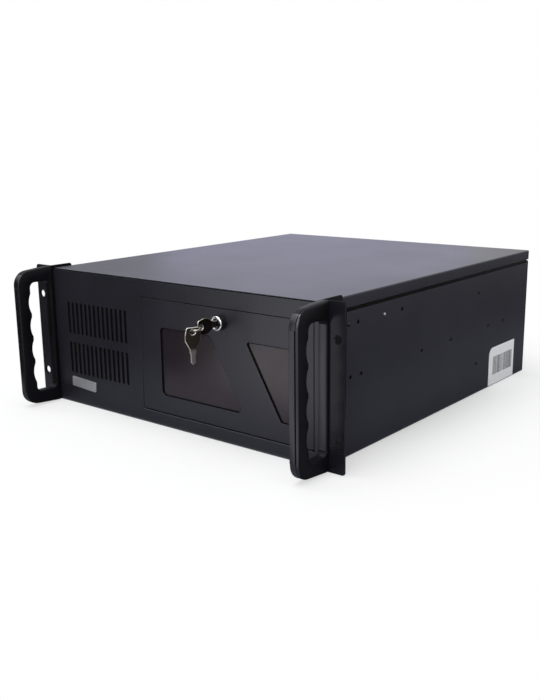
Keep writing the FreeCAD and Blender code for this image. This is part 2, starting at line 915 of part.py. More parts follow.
def make_bay_covers():
    """Blank covers that plug the drive bays."""
    covers = {}
    for i, (low, high) in enumerate(bay_openings()):
        lip = bay_cover_lip
        face = rectangle(bay_left - lip, bay_right + lip, low - lip, high + lip)
        front = rounded_block(face, lip, on_front(plate_front), V(0, -bay_cover_face, 0))
        plug = box(bay_left + moving_gap, bay_right - moving_gap, plate_front, plate_front + bay_cover_depth,
                   low + moving_gap, high - moving_gap)
        hollow = box(bay_left + bay_cover_face, bay_right - bay_cover_face, plate_front,
                     plate_front + bay_cover_depth, low + bay_cover_face, high - bay_cover_face)
        covers["bay_cover_%d" % (i + 1)] = fuse([front, plug.cut(hollow)])
    return covers


def make_buttons():
    """Power and reset buttons with the switch bodies that guide their stems."""
    pieces = {}
    switches = []
    for name, (z, radius) in buttons.items():
        flange_radius = radius + button_flange_step
        front = V(control_x, plate_front - button_proud, z)
        cap = rod(radius, button_proud + sheet + running_gap, front, to_rear)
        flange_front = V(control_x, frame_back + running_gap, z)
        flange = rod(flange_radius, button_flange, flange_front, to_rear)
        stem_front = V(control_x, frame_back + running_gap + button_flange, z)
        stem_length = button_travel + switch_depth / 2
        stem = rod(button_stem_radius, stem_length, stem_front, to_rear)
        pieces[name + "_button"] = fuse([cap, flange, stem])
        cavity = button_flange + button_travel + 2 * running_gap + moving_gap
        outer = rod(flange_radius + moving_gap + switch_wall, cavity + switch_depth,
                    V(control_x, frame_back, z), to_rear)
        well = rod(flange_radius + moving_gap, cavity, V(control_x, frame_back, z), to_rear)
        guide = rod(button_stem_radius + running_gap, cavity + switch_depth - switch_wall,
                    V(control_x, frame_back, z), to_rear)
        switches.append(cut(outer, [well, guide]))
    pieces["button_switches"] = Part.makeCompound(switches)
    return pieces


def make_indicator_lights():
    """Small light lenses above the sockets."""
    pieces = []
    for x in light_places:
        stem = rod(light_radius, light_length, V(x, plate_front - light_proud, light_z), to_rear)
        tip = [edge for edge in stem.Edges if edge.BoundBox.YMax < plate_front - light_proud / 2]
        rim = rod(light_radius + light_proud / 2, light_proud, V(x, frame_back, light_z), to_rear)
        pieces.append(fuse([stem.makeFillet(light_proud / 2, tip[:1]), rim]))
    return Part.makeCompound(pieces)


def make_usb_module():
    """Pair of front sockets in one shell behind the plate."""
    half = usb_width / 2 + usb_wall
    low = usb_places[0] - usb_height / 2 - usb_wall
    high = usb_places[-1] + usb_height / 2 + usb_wall
    shell = box(control_x - half, control_x + half, frame_back, frame_back + usb_depth, low, high)
    tools = []
    for z in usb_places:
        tools.append(box(control_x - usb_width / 2, control_x + usb_width / 2, frame_back,
                         frame_back + usb_depth - usb_wall, z - usb_height / 2, z + usb_height / 2))
    return cut(shell, tools)


def make_drive_cage():
    """Open cage behind the bays, with feet on the floor of the tray."""
    back = frame_back + cage_depth
    left = bay_left - sheet
    right = bay_right + sheet
    top = bay_openings()[-1][1] + 2 * bay_cover_lip
    walls = [
        box(left, bay_left, frame_back, back, sheet, top + sheet),
        box(bay_right, right, frame_back, back, sheet, top + sheet),
        box(left, right, frame_back, back, top, top + sheet),
        box(left - cage_foot, left, frame_back + cage_foot, back, sheet, 2 * sheet),
        box(bay_left, bay_right, frame_back + cage_foot, back, sheet, 2 * sheet),
    ]
    return fuse(walls)


def drive_floor(i):
    """Height of the underside of a hard drive."""
    return 3 * sheet + drive_gap + i * (drive_height + drive_gap)


def make_hard_drives():
    """Hard drives side-mounted in their bracket behind the front fan."""
    pieces = {}
    left = vent_centre_x - drive_width / 2
    front = drive_bracket_front
    for i in range(drive_count):
        low = drive_floor(i)
        outline = rectangle(left, left + drive_width, front, front + drive_length)
        case = rounded_block(outline, drive_corner, on_floor(low), V(0, 0, drive_height))
        rim = rectangle(left + drive_rim, left + drive_width - drive_rim, front + drive_rim,
                        front + drive_length - drive_tail)
        recess_floor = on_floor(low + drive_height - drive_recess)
        recess = rounded_block(rim, drive_recess_corner, recess_floor, V(0, 0, drive_height))
        pieces["hard_drive_%d" % (i + 1)] = case.cut(recess)
    high = drive_floor(drive_count - 1) + drive_height
    back = front + drive_length
    right = left + drive_width
    bracket = fuse([
        box(left - sheet, left, front, back, sheet, high),
        box(right, right + sheet, front, back, sheet, high),
        box(left, right, front, back, sheet, 2 * sheet),
    ])
    pieces["drive_bracket"] = bracket
    return pieces


def fan_parts(size, depth, hub):
    """Fan frame and rotor about +Y, with the middle of the front face at the origin."""
    half = size / 2
    bore = half - fan_ring
    body = rounded_block(rectangle(-half, half, -half, half), fan_hole_inset / 2, on_front(0), V(0, depth, 0))
    through = depth + 2 * cut_reach
    tools = [rod(bore, through, V(0, -cut_reach, 0), to_rear)]
    hole_place = half - fan_hole_inset
    for x in (-hole_place, hole_place):
        for z in (-hole_place, hole_place):
            tools.append(rod(fan_hole_radius, through, V(x, -cut_reach, z), to_rear))
    motor_front = depth - fan_motor_height
    struts = [rod(hub, fan_motor_height, V(0, motor_front, 0), to_rear)]
    for angle in (45, 135, 225, 315):
        strut = box(hub / 2, bore + fan_ring / 2, motor_front + fan_hub_recess, depth,
                    -fan_strut / 2, fan_strut / 2)
        strut.rotate(V(0, 0, 0), V(0, 1, 0), angle)
        struts.append(strut)
    frame = fuse([cut(body, tools)] + struts)
    frame = frame.cut(rod(fan_shaft_radius + running_gap, fan_motor_height, V(0, motor_front, 0), to_rear))
    hub_front = fan_hub_recess
    hub_back = motor_front - moving_gap
    drum = rod(hub, hub_back - hub_front, V(0, hub_front, 0), to_rear)
    shaft_length = fan_motor_height + moving_gap - fan_shaft_end_gap
    shaft = rod(fan_shaft_radius, shaft_length, V(0, hub_back, 0), to_rear)
    blade_tip = bore - fan_tip_gap
    chord = (hub_back - 3 * hub_front) / math.cos(math.radians(fan_blade_pitch))
    middle = (hub_front + hub_back) / 2
    blades = []
    for i in range(fan_blade_count):
        blade = box(hub - fan_blade_root, blade_tip - fan_tip_gap, -chord / 2, chord / 2,
                    -fan_blade / 2, fan_blade / 2)
        blade.rotate(V(0, 0, 0), V(1, 0, 0), fan_blade_pitch)
        blade.translate(V(0, middle, 0))
        blade.rotate(V(0, 0, 0), V(0, 1, 0), i * 360.0 / fan_blade_count)
        blades.append(blade)
    sweep = rod(blade_tip, hub_back - hub_front, V(0, hub_front, 0), to_rear)
    rotor = drum.fuse(blades).common(sweep).fuse(shaft).removeSplitter()
    return frame, rotor


def place_fan(parts, centre, facing_up=False):
    """Fan moved to its place, turned to blow downwards if it lies flat."""
    moved = []
    for piece in parts:
        copy = piece.copy()
        if facing_up:
            copy.rotate(V(0, 0, 0), V(1, 0, 0), -90)
        copy.translate(centre)
        moved.append(copy)
    return moved


front_fan_z = (vent_upper_z + vent_lower_z) / 2
filter_back = panel_sheet + filter_depth
rear_fan_z = board_top + io_height + rear_fan_size / 2 + rear_fan_rise
rear_fan_centres = [board_right - io_right_inset - rear_fan_size * (0.5 + i) for i in range(2)]
cooler_x = board_right - cooler_side_inset
cooler_y = board_rear - cooler_rear_inset
cooler_top = board_top + cooler_base + cooler_fin_height
psu_fan_x = (psu_left + psu_right) / 2
psu_fan_z = sheet + psu_height - psu_fan_size / 2 - psu_fan_top_gap


def make_fans():
    """All fans, each a frame and a rotor."""
    pieces = {}
    front = fan_parts(front_fan_size, front_fan_depth, front_fan_hub)
    frame, rotor = place_fan(front, V(vent_centre_x, filter_back, front_fan_z))
    pieces["front_fan_frame"] = frame
    pieces["front_fan_rotor"] = rotor
    rear = fan_parts(rear_fan_size, rear_fan_depth, small_fan_hub)
    for i, x in enumerate(rear_fan_centres):
        frame, rotor = place_fan(rear, V(x, rear_inner - rear_fan_depth, rear_fan_z))
        pieces["rear_fan_%d_frame" % (i + 1)] = frame
        pieces["rear_fan_%d_rotor" % (i + 1)] = rotor
    small = fan_parts(rear_fan_size, cooler_fan_depth, small_fan_hub)
    frame, rotor = place_fan(small, V(cooler_x, cooler_y, cooler_top + cooler_fan_depth), True)
    pieces["cooler_fan_frame"] = frame
    pieces["cooler_fan_rotor"] = rotor
    inside = fan_parts(psu_fan_size, psu_fan_depth, small_fan_hub)
    frame, rotor = place_fan(inside, V(psu_fan_x, rear_inner - psu_wall - psu_fan_depth, psu_fan_z))
    pieces["psu_fan_frame"] = frame
    pieces["psu_fan_rotor"] = rotor
    return pieces


def make_filter():
    """Foam air filter and the frame that holds it against the panel."""
    half = front_fan_size / 2
    outer = box(vent_centre_x - half, vent_centre_x + half, panel_sheet, filter_back,
                front_fan_z - half, front_fan_z + half)
    inner_half_size = half - filter_wall
    window = box(vent_centre_x - inner_half_size, vent_centre_x + inner_half_size, panel_sheet, filter_back,
                 front_fan_z - inner_half_size, front_fan_z + inner_half_size)
    foam = box(vent_centre_x - inner_half_size, vent_centre_x + inner_half_size, panel_sheet,
               filter_back - filter_wall / 2, front_fan_z - inner_half_size, front_fan_z + inner_half_size)
    return {"filter_frame": outer.cut(window), "air_filter": foam}


def slot_places():
    """Middles of the expansion slots, from the connector shield outwards."""
    first = board_right - io_right_inset - io_width - slot_first_gap
    count = 1 + int((first - slot_socket_width / 2 - board_left) / slot_pitch)
    return [first - i * slot_pitch for i in range(count)]


slot_low = board_top + slot_rise
slot_high = slot_low + slot_height
io_right = board_right - io_right_inset
io_left = io_right - io_width
io_low = board_low - io_drop
io_high = io_low + io_height
inlet_x = psu_fan_x + inlet_offset
inlet_z = sheet + psu_height - psu_fan_size - inlet_drop
rocker_x = psu_fan_x - rocker_offset


def make_rear_panel():
    """Rear sheet with openings for the supply, connectors, slots and fans."""
    outline = [
        (half_width, 0),
        (half_width, side_shoulder),
        (upper_half, side_shoulder),
        (upper_half, lid_under),
        (-upper_half, lid_under),
        (-upper_half, side_shoulder),
        (-half_width, side_shoulder),
        (-half_width, 0),
    ]
    plate = rounded_face(outline, [bend_radius] + [0] * 6 + [bend_radius], on_front(rear_inner))
    panel = plate.extrude(V(0, sheet, 0))
    y0 = rear_inner - cut_reach
    y1 = body_depth + cut_reach
    rim = psu_opening_rim
    tools = [
        box(psu_left + rim, psu_right - rim, y0, y1, sheet + rim, sheet + psu_height - rim),
        box(io_left, io_right, y0, y1, io_low, io_high),
    ]
    for x in slot_places():
        tools.append(box(x - slot_width / 2, x + slot_width / 2, y0, y1, slot_low, slot_high))
    for seat in slot_screw_seats():
        tools.append(screw_hole(seat, to_front, slot_screw_length))
    for x in rear_fan_centres:
        tools += grille_cuts(x, rear_fan_z, rear_fan_size, y0, y1)
    for seat in thumbscrew_seats():
        tools.append(rod(thumbscrew_shank_radius + running_gap, body_depth, seat, to_front))
    return cut(panel, tools)


def grille_cuts(x, z, size, y0, y1):
    """Concentric ring cuts of a fan grille, left joined by four spokes."""
    tools = []
    spoke = grille_spoke
    for i in range(grille_ring_count):
        inner = grille_ring_first + i * grille_ring_pitch
        outer = inner + grille_ring_width
        ring = rod(outer, y1 - y0, V(x, y0, z), to_rear).cut(rod(inner, y1 - y0, V(x, y0, z), to_rear))
        across = box(x - size, x + size, y0, y1, z - spoke / 2, z + spoke / 2)
        upright = box(x - spoke / 2, x + spoke / 2, y0, y1, z - size, z + size)
        tools.append(ring.cut(across).cut(upright))
    return tools


slot_screw_length = sheet + shield_sheet + screw_reach


def slot_screw_seats():
    """Points on the rear panel where the screws of the slot covers sit."""
    return [V(x, body_depth, slot_high + slot_width / 2) for x in slot_places()]


def make_slot_covers():
    """Blank covers of the expansion slots, inside the rear panel."""
    covers = []
    half = slot_cover_width / 2
    for x, seat in zip(slot_places(), slot_screw_seats()):
        cover = box(x - half, x + half, rear_inner - shield_sheet, rear_inner,
                    slot_low - slot_cover_lap, slot_high + slot_width)
        covers.append(cover.cut(screw_hole(seat, to_front, slot_screw_length)))
    return Part.makeCompound(covers)


def make_mainboard():
    """Circuit board, its standoffs, and the sockets and coolers that stand on it."""
    board = box(board_left, board_right, board_front, board_rear, board_low, board_top)
    posts = []
    inset = standoff_inset
    for x in (board_left + inset, (board_left + board_right) / 2, board_right - inset):
        for y in (board_front + inset, (board_front + board_rear) / 2, board_rear - inset):
            posts.append(rod(standoff_radius, standoff_height, V(x, y, sheet), upward))
    sockets = []
    for x in slot_places():
        half = slot_socket_width / 2
        end = board_rear - slot_socket_inset
        start = end - slot_socket_length
        top = board_top + slot_socket_height
        bar = box(x - half, x + half, start, end, board_top, top)
        slit_half = slot_slit_width / 2
        slit = box(x - slit_half, x + slit_half, start + slot_slit_end, end - slot_slit_end,
                   top - slot_slit_depth, top + cut_reach)
        sockets.append(bar.cut(slit))
    modules, memory_sockets = make_memory()
    return {"mainboard": board, "standoffs": Part.makeCompound(posts),
            "memory_modules": Part.makeCompound(modules),
            "board_sockets": Part.makeCompound(sockets + memory_sockets)}


def make_memory():
    """Memory modules and the sockets that they stand in."""
    modules = []
    sockets = []
    start = board_front + memory_front_inset
    front = start + memory_latch
    back = front + memory_length
    for i in range(memory_count):
        x = cooler_x - cooler_size / 2 - memory_clearance - i * memory_pitch
        half = memory_sheet / 2
        low = board_top + memory_socket_wall * 2
        module = box(x - half, x + half, front, back, low, low + memory_height)
        modules.append(module)
        wall = half + memory_socket_wall
        bar = box(x - wall, x + wall, start, back + memory_latch, board_top, board_top + memory_socket_height)
        sockets.append(bar.cut(module))
    return modules, sockets


def make_cooler():
    """Processor block and finned heat sink under the cooler's fan."""
    half = cooler_size / 2
    foot_half = cooler_foot_size / 2
    foot_top = board_top + cooler_foot_height
    base = box(cooler_x - half, cooler_x + half, cooler_y - half, cooler_y + half,
               foot_top, board_top + cooler_base)
    foot = box(cooler_x - foot_half, cooler_x + foot_half, cooler_y - foot_half, cooler_y + foot_half,
               board_top, foot_top)
    fins = []
    step = (cooler_size - cooler_fin_sheet) / (cooler_fin_count - 1)
    for i in range(cooler_fin_count):
        x = cooler_x - half + i * step
        fins.append(box(x, x + cooler_fin_sheet, cooler_y - half, cooler_y + half,
                        board_top + cooler_base, cooler_top))
    return fuse([base, foot] + fins)


def make_rear_connectors():
    """Connector bodies on the board's rear edge and the thin shield around them."""
    low = board_top
    face = body_depth + connector_proud
    back = board_rear - connector_reach
    bodies = []
    recesses = []
    x = io_right - connector_gap
    for size, mouths in zip(connector_sizes, connector_mouth_counts):
        width, height, mouth_width, mouth_height = size
        bodies.append(box(x - width, x, back, face, low, low + height))
        middle = x - width / 2
        for i in range(mouths):
            floor = low + connector_floor + i * connector_pitch
            recesses.append(box(middle - mouth_width / 2, middle + mouth_width / 2,
                                face - connector_mouth, face + cut_reach, floor, floor + mouth_height))
        x -= width + connector_gap
    connectors = [body.cut(Part.makeCompound(recesses)) for body in bodies]
    shield = box(io_left - shield_lap, io_right + shield_lap, rear_inner - shield_sheet, rear_inner,
                 io_low - shield_foot, io_high + shield_lap)
    gap = shield_gap
    holes = []
    for body in bodies:
        limits = body.BoundBox
        holes.append(box(limits.XMin - gap, limits.XMax + gap, back, face,
                         limits.ZMin - shield_hole_drop, limits.ZMax + gap))
    return {"rear_connectors": Part.makeCompound(connectors), "connector_shield": cut(shield, holes)}


def make_hold_down_bar():
    """Cross bar that keeps the cards down, folded over the tray's side flanges."""
    reach = upper_half - sheet
    y1 = psu_front - hold_bar_setback
    y0 = y1 - hold_bar_width
    bar = box(-reach, reach, y0, y1, hold_bar_z, hold_bar_z + sheet)
    lips = both_sides([box(reach - sheet, reach, y0, y1, hold_bar_z, side_shoulder + sheet)])
    return fuse([bar] + lips)


def make_power_supply():
    """Power supply case with its board, inlet and rocker switch."""
    x0, x1 = psu_left, psu_right
    y0, y1 = psu_front, rear_inner
    z0, z1 = sheet, sheet + psu_height
    wall = psu_wall
    outer = box(x0, x1, y0, y1, z0, z1)
    inner = box(x0 + wall, x1 - wall, y0 + wall, y1 - wall, z0 + wall, z1 - wall)
    case = outer.cut(inner)
    near = y1 - wall - cut_reach
    far = y1 + cut_reach
    tools = grille_cuts(psu_fan_x, psu_fan_z, psu_fan_size, near, far)
    left = inlet_x - inlet_width / 2
    right = inlet_x + inlet_width / 2
    low = inlet_z - inlet_height / 2
    high = inlet_z + inlet_height / 2
    tools.append(box(left, right, near, far, low, high))
    rocker_w = rocker_width / 2 + inlet_wall
    rocker_h = rocker_height / 2 + inlet_wall
    tools.append(box(rocker_x - rocker_w, rocker_x + rocker_w, near, far,
                     inlet_z - rocker_h, inlet_z + rocker_h))
    for i in range(psu_louvre_count):
        z = z0 + psu_louvre_start + i * psu_louvre_pitch
        tools.append(box(x0 + psu_louvre_inset, x1 - psu_louvre_inset, y0 - cut_reach, y0 + wall + cut_reach,
                         z, z + psu_louvre_height))
    case = cut(case, tools)
    socket = box(left, right, y1 - inlet_depth, y1, low, high)
    well_floor = y1 - inlet_depth + inlet_wall
    well = box(left + inlet_wall, right - inlet_wall, well_floor, far, low + inlet_wall, high - inlet_wall)
    blades = []
    half_w = inlet_blade_width / 2
    half_h = inlet_blade_height / 2
    for dx, dz in inlet_blade_places:
        x = inlet_x + dx
        z = inlet_z + dz
        blades.append(box(x - half_w, x + half_w, well_floor, y1 - inlet_blade_recess,
                          z - half_h, z + half_h))
    inlet = fuse([socket.cut(well)] + blades)
    return {"psu_case": case, "mains_inlet": inlet, "psu_board": make_psu_board()}


def make_psu_board():
    """Circuit board of the supply on the case's side wall, with its transformer and heat spreaders."""
    left = psu_left + psu_wall
    front = psu_front + psu_wall + psu_board_margin
    back = rear_inner - psu_wall - psu_fan_depth - psu_board_margin
    low = sheet + psu_wall + psu_board_margin
    high = sheet + psu_height - psu_wall - psu_board_margin
    plate = box(left, left + board_sheet, front, back, low, high)
    face = left + board_sheet
    middle = (front + back) / 2
    core = box(face, face + psu_core, middle - psu_core / 2, middle + psu_core / 2,
               inlet_z, inlet_z + psu_core)
    spreaders = []
    for y in (front + psu_spreader_inset, back - psu_spreader_inset):
        spreaders.append(box(face, face + psu_spreader, y - board_sheet, y + board_sheet,
                             low + psu_spreader_inset, high - psu_spreader_inset))
    return fuse([plate, core] + spreaders)


def make_rocker():
    """Rocker of the supply's switch on its pivot, and the well that holds it."""
    y1 = rear_inner
    half_w = rocker_width / 2
    half_h = rocker_height / 2
    wall = inlet_wall
    outer = box(rocker_x - half_w - wall, rocker_x + half_w + wall, y1 - rocker_depth - wall, y1,
                inlet_z - half_h - wall, inlet_z + half_h + wall)
    well = box(rocker_x - half_w, rocker_x + half_w, y1 - rocker_depth, y1 + cut_reach,
               inlet_z - half_h, inlet_z + half_h)
    pivot_y = y1 - rocker_depth / 2
    pivot = V(rocker_x - half_w - wall, pivot_y, inlet_z)
    bore = rod(rocker_pivot_radius + running_gap, rocker_width + 2 * wall, pivot, to_right)
    housing = cut(outer, [well, bore])
    rise = math.tan(math.radians(rocker_angle)) * half_h
    tip_y = y1 + rise - rocker_sink
    tip = half_h - rocker_end_gap
    keel_y = pivot_y - rocker_keel_drop
    keel = rocker_keel_height / 2
    outline = [
        (keel_y, inlet_z - keel),
        (tip_y, inlet_z - tip),
        (y1 - rocker_sink, inlet_z),
        (tip_y, inlet_z + tip),
        (keel_y, inlet_z + keel),
    ]
    radii = [rocker_keel_corner, rocker_tip_corner, 0, rocker_tip_corner, rocker_keel_corner]
    face = rounded_face(outline, radii, on_side(rocker_x - half_w + moving_gap))
    rocker = face.extrude(V(rocker_width - 2 * moving_gap, 0, 0))
    trunnion_length = rocker_width + 2 * (wall - rocker_end_play)
    trunnion = rod(rocker_pivot_radius, trunnion_length, pivot + to_right * rocker_end_play, to_right)
    rocker = fuse([rocker, trunnion])
    rocker.rotate(V(rocker_x, pivot_y, inlet_z), V(1, 0, 0), rocker_angle)
    return {"rocker_housing": housing, "rocker_switch": rocker}


def all_pieces():
    """Every piece of the server by name."""
    pieces = {
        "base_tray": make_base_tray(),
        "lid": make_lid(),
        "lid_thumbscrews": make_thumbscrews(),
        "front_panel": make_front_panel(),
        "rear_panel": make_rear_panel(),
        "badge_plate": make_badge_plate(),
        "pan_head_screws": make_pan_head_screws(),
        "slot_covers": make_slot_covers(),
        "right_ear": make_ear(),
        "right_handle": make_handle(),
        "front_door": make_front_door(),
        "door_window": make_door_window(),
        "hinge_pins": make_hinge_pins(),
        "bay_frame": make_bay_frame(),
        "indicator_lights": make_indicator_lights(),
        "usb_module": make_usb_module(),
        "drive_cage": make_drive_cage(),
        "heat_sink": make_cooler(),
        "hold_down_bar": make_hold_down_bar(),
    }
    pieces["left_ear"] = mirrored(pieces["right_ear"])
    pieces["left_handle"] = mirrored(pieces["right_handle"])
    groups = [make_lock(), make_keys(), make_bay_covers(), make_buttons(), make_hard_drives(), make_fans(),
              make_filter(), make_mainboard(), make_rear_connectors(), make_power_supply(), make_rocker()]
    for group in groups:
        pieces.update(group)
    return pieces


os.makedirs("parts", exist_ok=True)
for name, piece in all_pieces().items():
    piece.translate(V(0, -origin_y, 0))
    piece.exportStep("parts/" + name + ".step")
    print(name, len(piece.Solids), "solids", round(piece.Volume), "mm3", piece.isValid())
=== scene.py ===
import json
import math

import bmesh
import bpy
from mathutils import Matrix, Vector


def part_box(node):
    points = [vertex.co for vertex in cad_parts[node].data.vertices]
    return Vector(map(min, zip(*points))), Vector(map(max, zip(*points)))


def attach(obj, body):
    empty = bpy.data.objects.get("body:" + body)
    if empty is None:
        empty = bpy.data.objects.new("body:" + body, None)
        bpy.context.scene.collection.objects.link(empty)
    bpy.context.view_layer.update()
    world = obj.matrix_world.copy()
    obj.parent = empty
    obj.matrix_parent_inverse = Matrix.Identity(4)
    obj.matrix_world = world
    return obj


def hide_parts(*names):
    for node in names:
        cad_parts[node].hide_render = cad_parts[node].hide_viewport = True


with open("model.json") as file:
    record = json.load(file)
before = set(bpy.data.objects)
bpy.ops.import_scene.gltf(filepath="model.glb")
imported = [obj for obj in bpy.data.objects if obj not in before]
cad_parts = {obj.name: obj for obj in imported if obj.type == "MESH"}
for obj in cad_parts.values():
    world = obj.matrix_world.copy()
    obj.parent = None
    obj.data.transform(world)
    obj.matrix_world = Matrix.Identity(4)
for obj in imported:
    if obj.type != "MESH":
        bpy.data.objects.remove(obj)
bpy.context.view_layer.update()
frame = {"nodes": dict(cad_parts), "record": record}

# %% [markdown]
# # A rack-mount server
# The CAD model gives every sheet, hinge and fan its place and size.
# This lesson dresses that model: paint, plating, plastic, rounded edges and the small parts
# that a drawing leaves plain.  Everything is in metres, in the frame of the CAD model, so a
# piece is made where it belongs and is never shifted afterwards.  Sizes of small parts are easier
# to read in millimetres, so one helper turns those into points of that frame.

nodes = frame["nodes"]
bodies = frame["record"]["behaviour"]["bodies"]
node_body = {name: body for body, names in bodies.items() for name in names}
panel_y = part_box("front_panel")[0].y


def mm(x, y, z):
    """A point from millimetres, with y counted back from the face of the front panel."""
    return Vector((x / 1000, y / 1000 + panel_y, z / 1000))


# %% [markdown]
# ## The camera
# The photograph was taken from the front right, a little above the lid.  Straight edges of the
# case gave the lens and the place of the camera: the three directions below are the picture's
# right, its up and the way back to the viewer.  A camera can also be turned by hand until the
# picture fits, but a fit to edges can be repeated.

# %% Camera
camera_place = Vector((0.7069, -0.91135, 0.3281))
picture_right = Vector((0.7759, 0.6307, -0.0128))
picture_back = Vector((0.6158, -0.7529, 0.2322)).normalized()
picture_up = picture_back.cross(picture_right).normalized()
picture_right = picture_up.cross(picture_back)
camera_data = bpy.data.cameras.new("camera")
camera_data.sensor_width = 36.0
camera_data.lens = 45.08
camera = bpy.data.objects.new("camera", camera_data)
bpy.context.scene.collection.objects.link(camera)
turn = Matrix((picture_right, picture_up, picture_back)).transposed().to_4x4()
camera.matrix_world = Matrix.Translation(camera_place) @ turn
bpy.context.scene.camera = camera
bpy.context.scene.view_settings.view_transform = "Standard"
print("camera at", tuple(round(v, 3) for v in camera_place))

# %% [markdown]
# ## Helpers for materials
# Each finish is a Principled shader with a few textures in front of it.  The helpers add one
# trait at a time: grain to the bump, mottling to the colour, patches to the roughness.  All of
# them read Object coordinates, so a grain keeps its real size on every piece.  Image textures
# could do the same, but noise needs no file and shows no seam.

# %% A plain finish
def shader_of(material):
    """The material's Principled shader."""
    return material.node_tree.nodes["Principled BSDF"]


def finish(name, colour, roughness, metallic=0.0, specular=0.5):
    """A material with plain shader values, to which the other helpers add texture."""
    material = bpy.data.materials.new(name)
    material.use_nodes = True
    shader = shader_of(material)
    shader.inputs["Base Color"].default_value = (*colour, 1)
    shader.inputs["Roughness"].default_value = roughness
    shader.inputs["Metallic"].default_value = metallic
    shader.inputs["Specular IOR Level"].default_value = specular
    return material


# %% Nodes in front of the shader
def add_node(material, kind, **inputs):
    """A shader node with some of its inputs set by name."""
    node = material.node_tree.nodes.new(kind)
    for key, value in inputs.items():
        node.inputs[key].default_value = value
    return node


def place(material, stretch):
    """Object coordinates in metres, stretched."""
    coordinates = add_node(material, "ShaderNodeTexCoord")
    mapping = add_node(material, "ShaderNodeMapping", Scale=stretch)
    material.node_tree.links.new(coordinates.outputs["Object"], mapping.inputs["Vector"])
    return mapping.outputs["Vector"]


def noise(material, scale, detail, stretch):
    """Noise of about scale lumps per metre, in several sizes of detail."""
    texture = add_node(material, "ShaderNodeTexNoise", Scale=scale, Detail=detail,
                       Roughness=0.55)
    material.node_tree.links.new(place(material, stretch), texture.inputs["Vector"])
    return texture.outputs["Fac"]


def ramp(material, factor, stops):
    """Colours or greys along a factor, from (place, colour) stops."""
    node = add_node(material, "ShaderNodeValToRGB")
    while len(node.color_ramp.elements) < len(stops):
        node.color_ramp.elements.new(0.5)
    for element, (where, colour) in zip(node.color_ramp.elements, stops):
        element.position = where
        element.color = (*colour, 1)
    material.node_tree.links.new(factor, node.inputs["Fac"])
    return node.outputs["Color"]


# %% Mottling, patches and grain
def mottle(material, scale, dark, light, stretch=(1, 1, 1)):
    """Slow changes of the base colour between two tones."""
    colour = ramp(material, noise(material, scale, 4.0, stretch), [(0.35, dark), (0.65, light)])
    material.node_tree.links.new(colour, shader_of(material).inputs["Base Color"])


def patches(material, scale, low, high, stretch=(1, 1, 1)):
    """Roughness that drifts between two values, as handling and cleaning leave it."""
    stops = [(0.3, (low,) * 3), (0.7, (high,) * 3)]
    grey = ramp(material, noise(material, scale, 5.0, stretch), stops)
    material.node_tree.links.new(grey, shader_of(material).inputs["Roughness"])


def grain(material, scale, depth, stretch=(1, 1, 1), strength=1.0):
    """Fine relief of the surface, depth metres high."""
    bump = add_node(material, "ShaderNodeBump", Distance=depth, Strength=strength)
    material.node_tree.links.new(noise(material, scale, 2.0, stretch), bump.inputs["Height"])
    material.node_tree.links.new(bump.outputs["Normal"], shader_of(material).inputs["Normal"])


# %% [markdown]
# ## Black finishes
# The sheet metal wears a fine powder coat: nearly black, with a grain of about a millimetre and
# a weak, slightly blue sheen that only brightens where light grazes it, as it does along the
# lid.  The cast handles have a glossy front and duller, slightly darker sides; that darker copy
# of the handle coat is painted shade.  The moulded parts are plain black plastic, and a dull
# near-black that hardly reflects at all is painted shade in slots, gaps and edges that lie in
# shadow.  One black would be simpler, but the difference in sheen is what tells sheet, casting
# and plastic apart.

# %% Powder coats
def tint_sheen(material, red, green, blue):
    """Colour of the light that the surface mirrors."""
    shader_of(material).inputs["Specular Tint"].default_value = (red, green, blue, 1)


def powder_coat(name, dark, light, low, high, specular, warm=0.93):
    """Black powder coat with a fine orange-peel grain and a sheen with less red and green."""
    material = finish(name, light, high, specular=specular)
    mottle(material, 14, dark, light)
    patches(material, 9, low, high)
    grain(material, 900, 0.00006, strength=0.25)
    tint_sheen(material, warm, warm, 1.0)
    return material


body_coat = powder_coat("body_coat", (0.0115, 0.0115, 0.0175), (0.0155, 0.0155, 0.023),
                        0.385, 0.415, specular=0.45, warm=0.88)
panel_coat = powder_coat("panel_coat", (0.0085, 0.0085, 0.013), (0.012, 0.012, 0.0175),
                         0.36, 0.42, specular=0.8)
# The right ear's coat: smoother than the panel's, and darker as painted shade from the handle.
shaded_ear_coat = powder_coat("shaded_ear_coat", (0.006, 0.006, 0.009), (0.009, 0.009, 0.0125),
                       0.22, 0.28, specular=0.3)
print("powder coats:", [material.name for material in (body_coat, panel_coat, shaded_ear_coat)])

# %% Cast handles, black mouldings and a near-black for painted shade
handle_coat = finish("handle_coat", (0.004, 0.004, 0.005), 0.36, specular=0.88)
tint_sheen(handle_coat, 0.9, 0.9, 1.0)
mottle(handle_coat, 22, (0.003, 0.003, 0.0038), (0.0052, 0.0052, 0.0062))
patches(handle_coat, 16, 0.3, 0.42)
grain(handle_coat, 1500, 0.00003, strength=0.25)
# A duller, slightly darker copy of the handle coat: painted shade on the handles' sides and slots.
handle_shade_coat = finish("handle_shade_coat", (0.0034, 0.0034, 0.0048), 0.5, specular=0.16)
tint_sheen(handle_shade_coat, 0.9, 0.9, 1.0)
mottle(handle_shade_coat, 22, (0.0026, 0.0026, 0.0038), (0.0042, 0.0042, 0.0058))
patches(handle_shade_coat, 16, 0.44, 0.56)
grain(handle_shade_coat, 1500, 0.00003, strength=0.25)
black_moulding = finish("black_moulding", (0.012, 0.012, 0.013), 0.5)
mottle(black_moulding, 30, (0.010, 0.010, 0.011), (0.017, 0.017, 0.018))
patches(black_moulding, 25, 0.42, 0.58)
grain(black_moulding, 2200, 0.00003, strength=0.3)
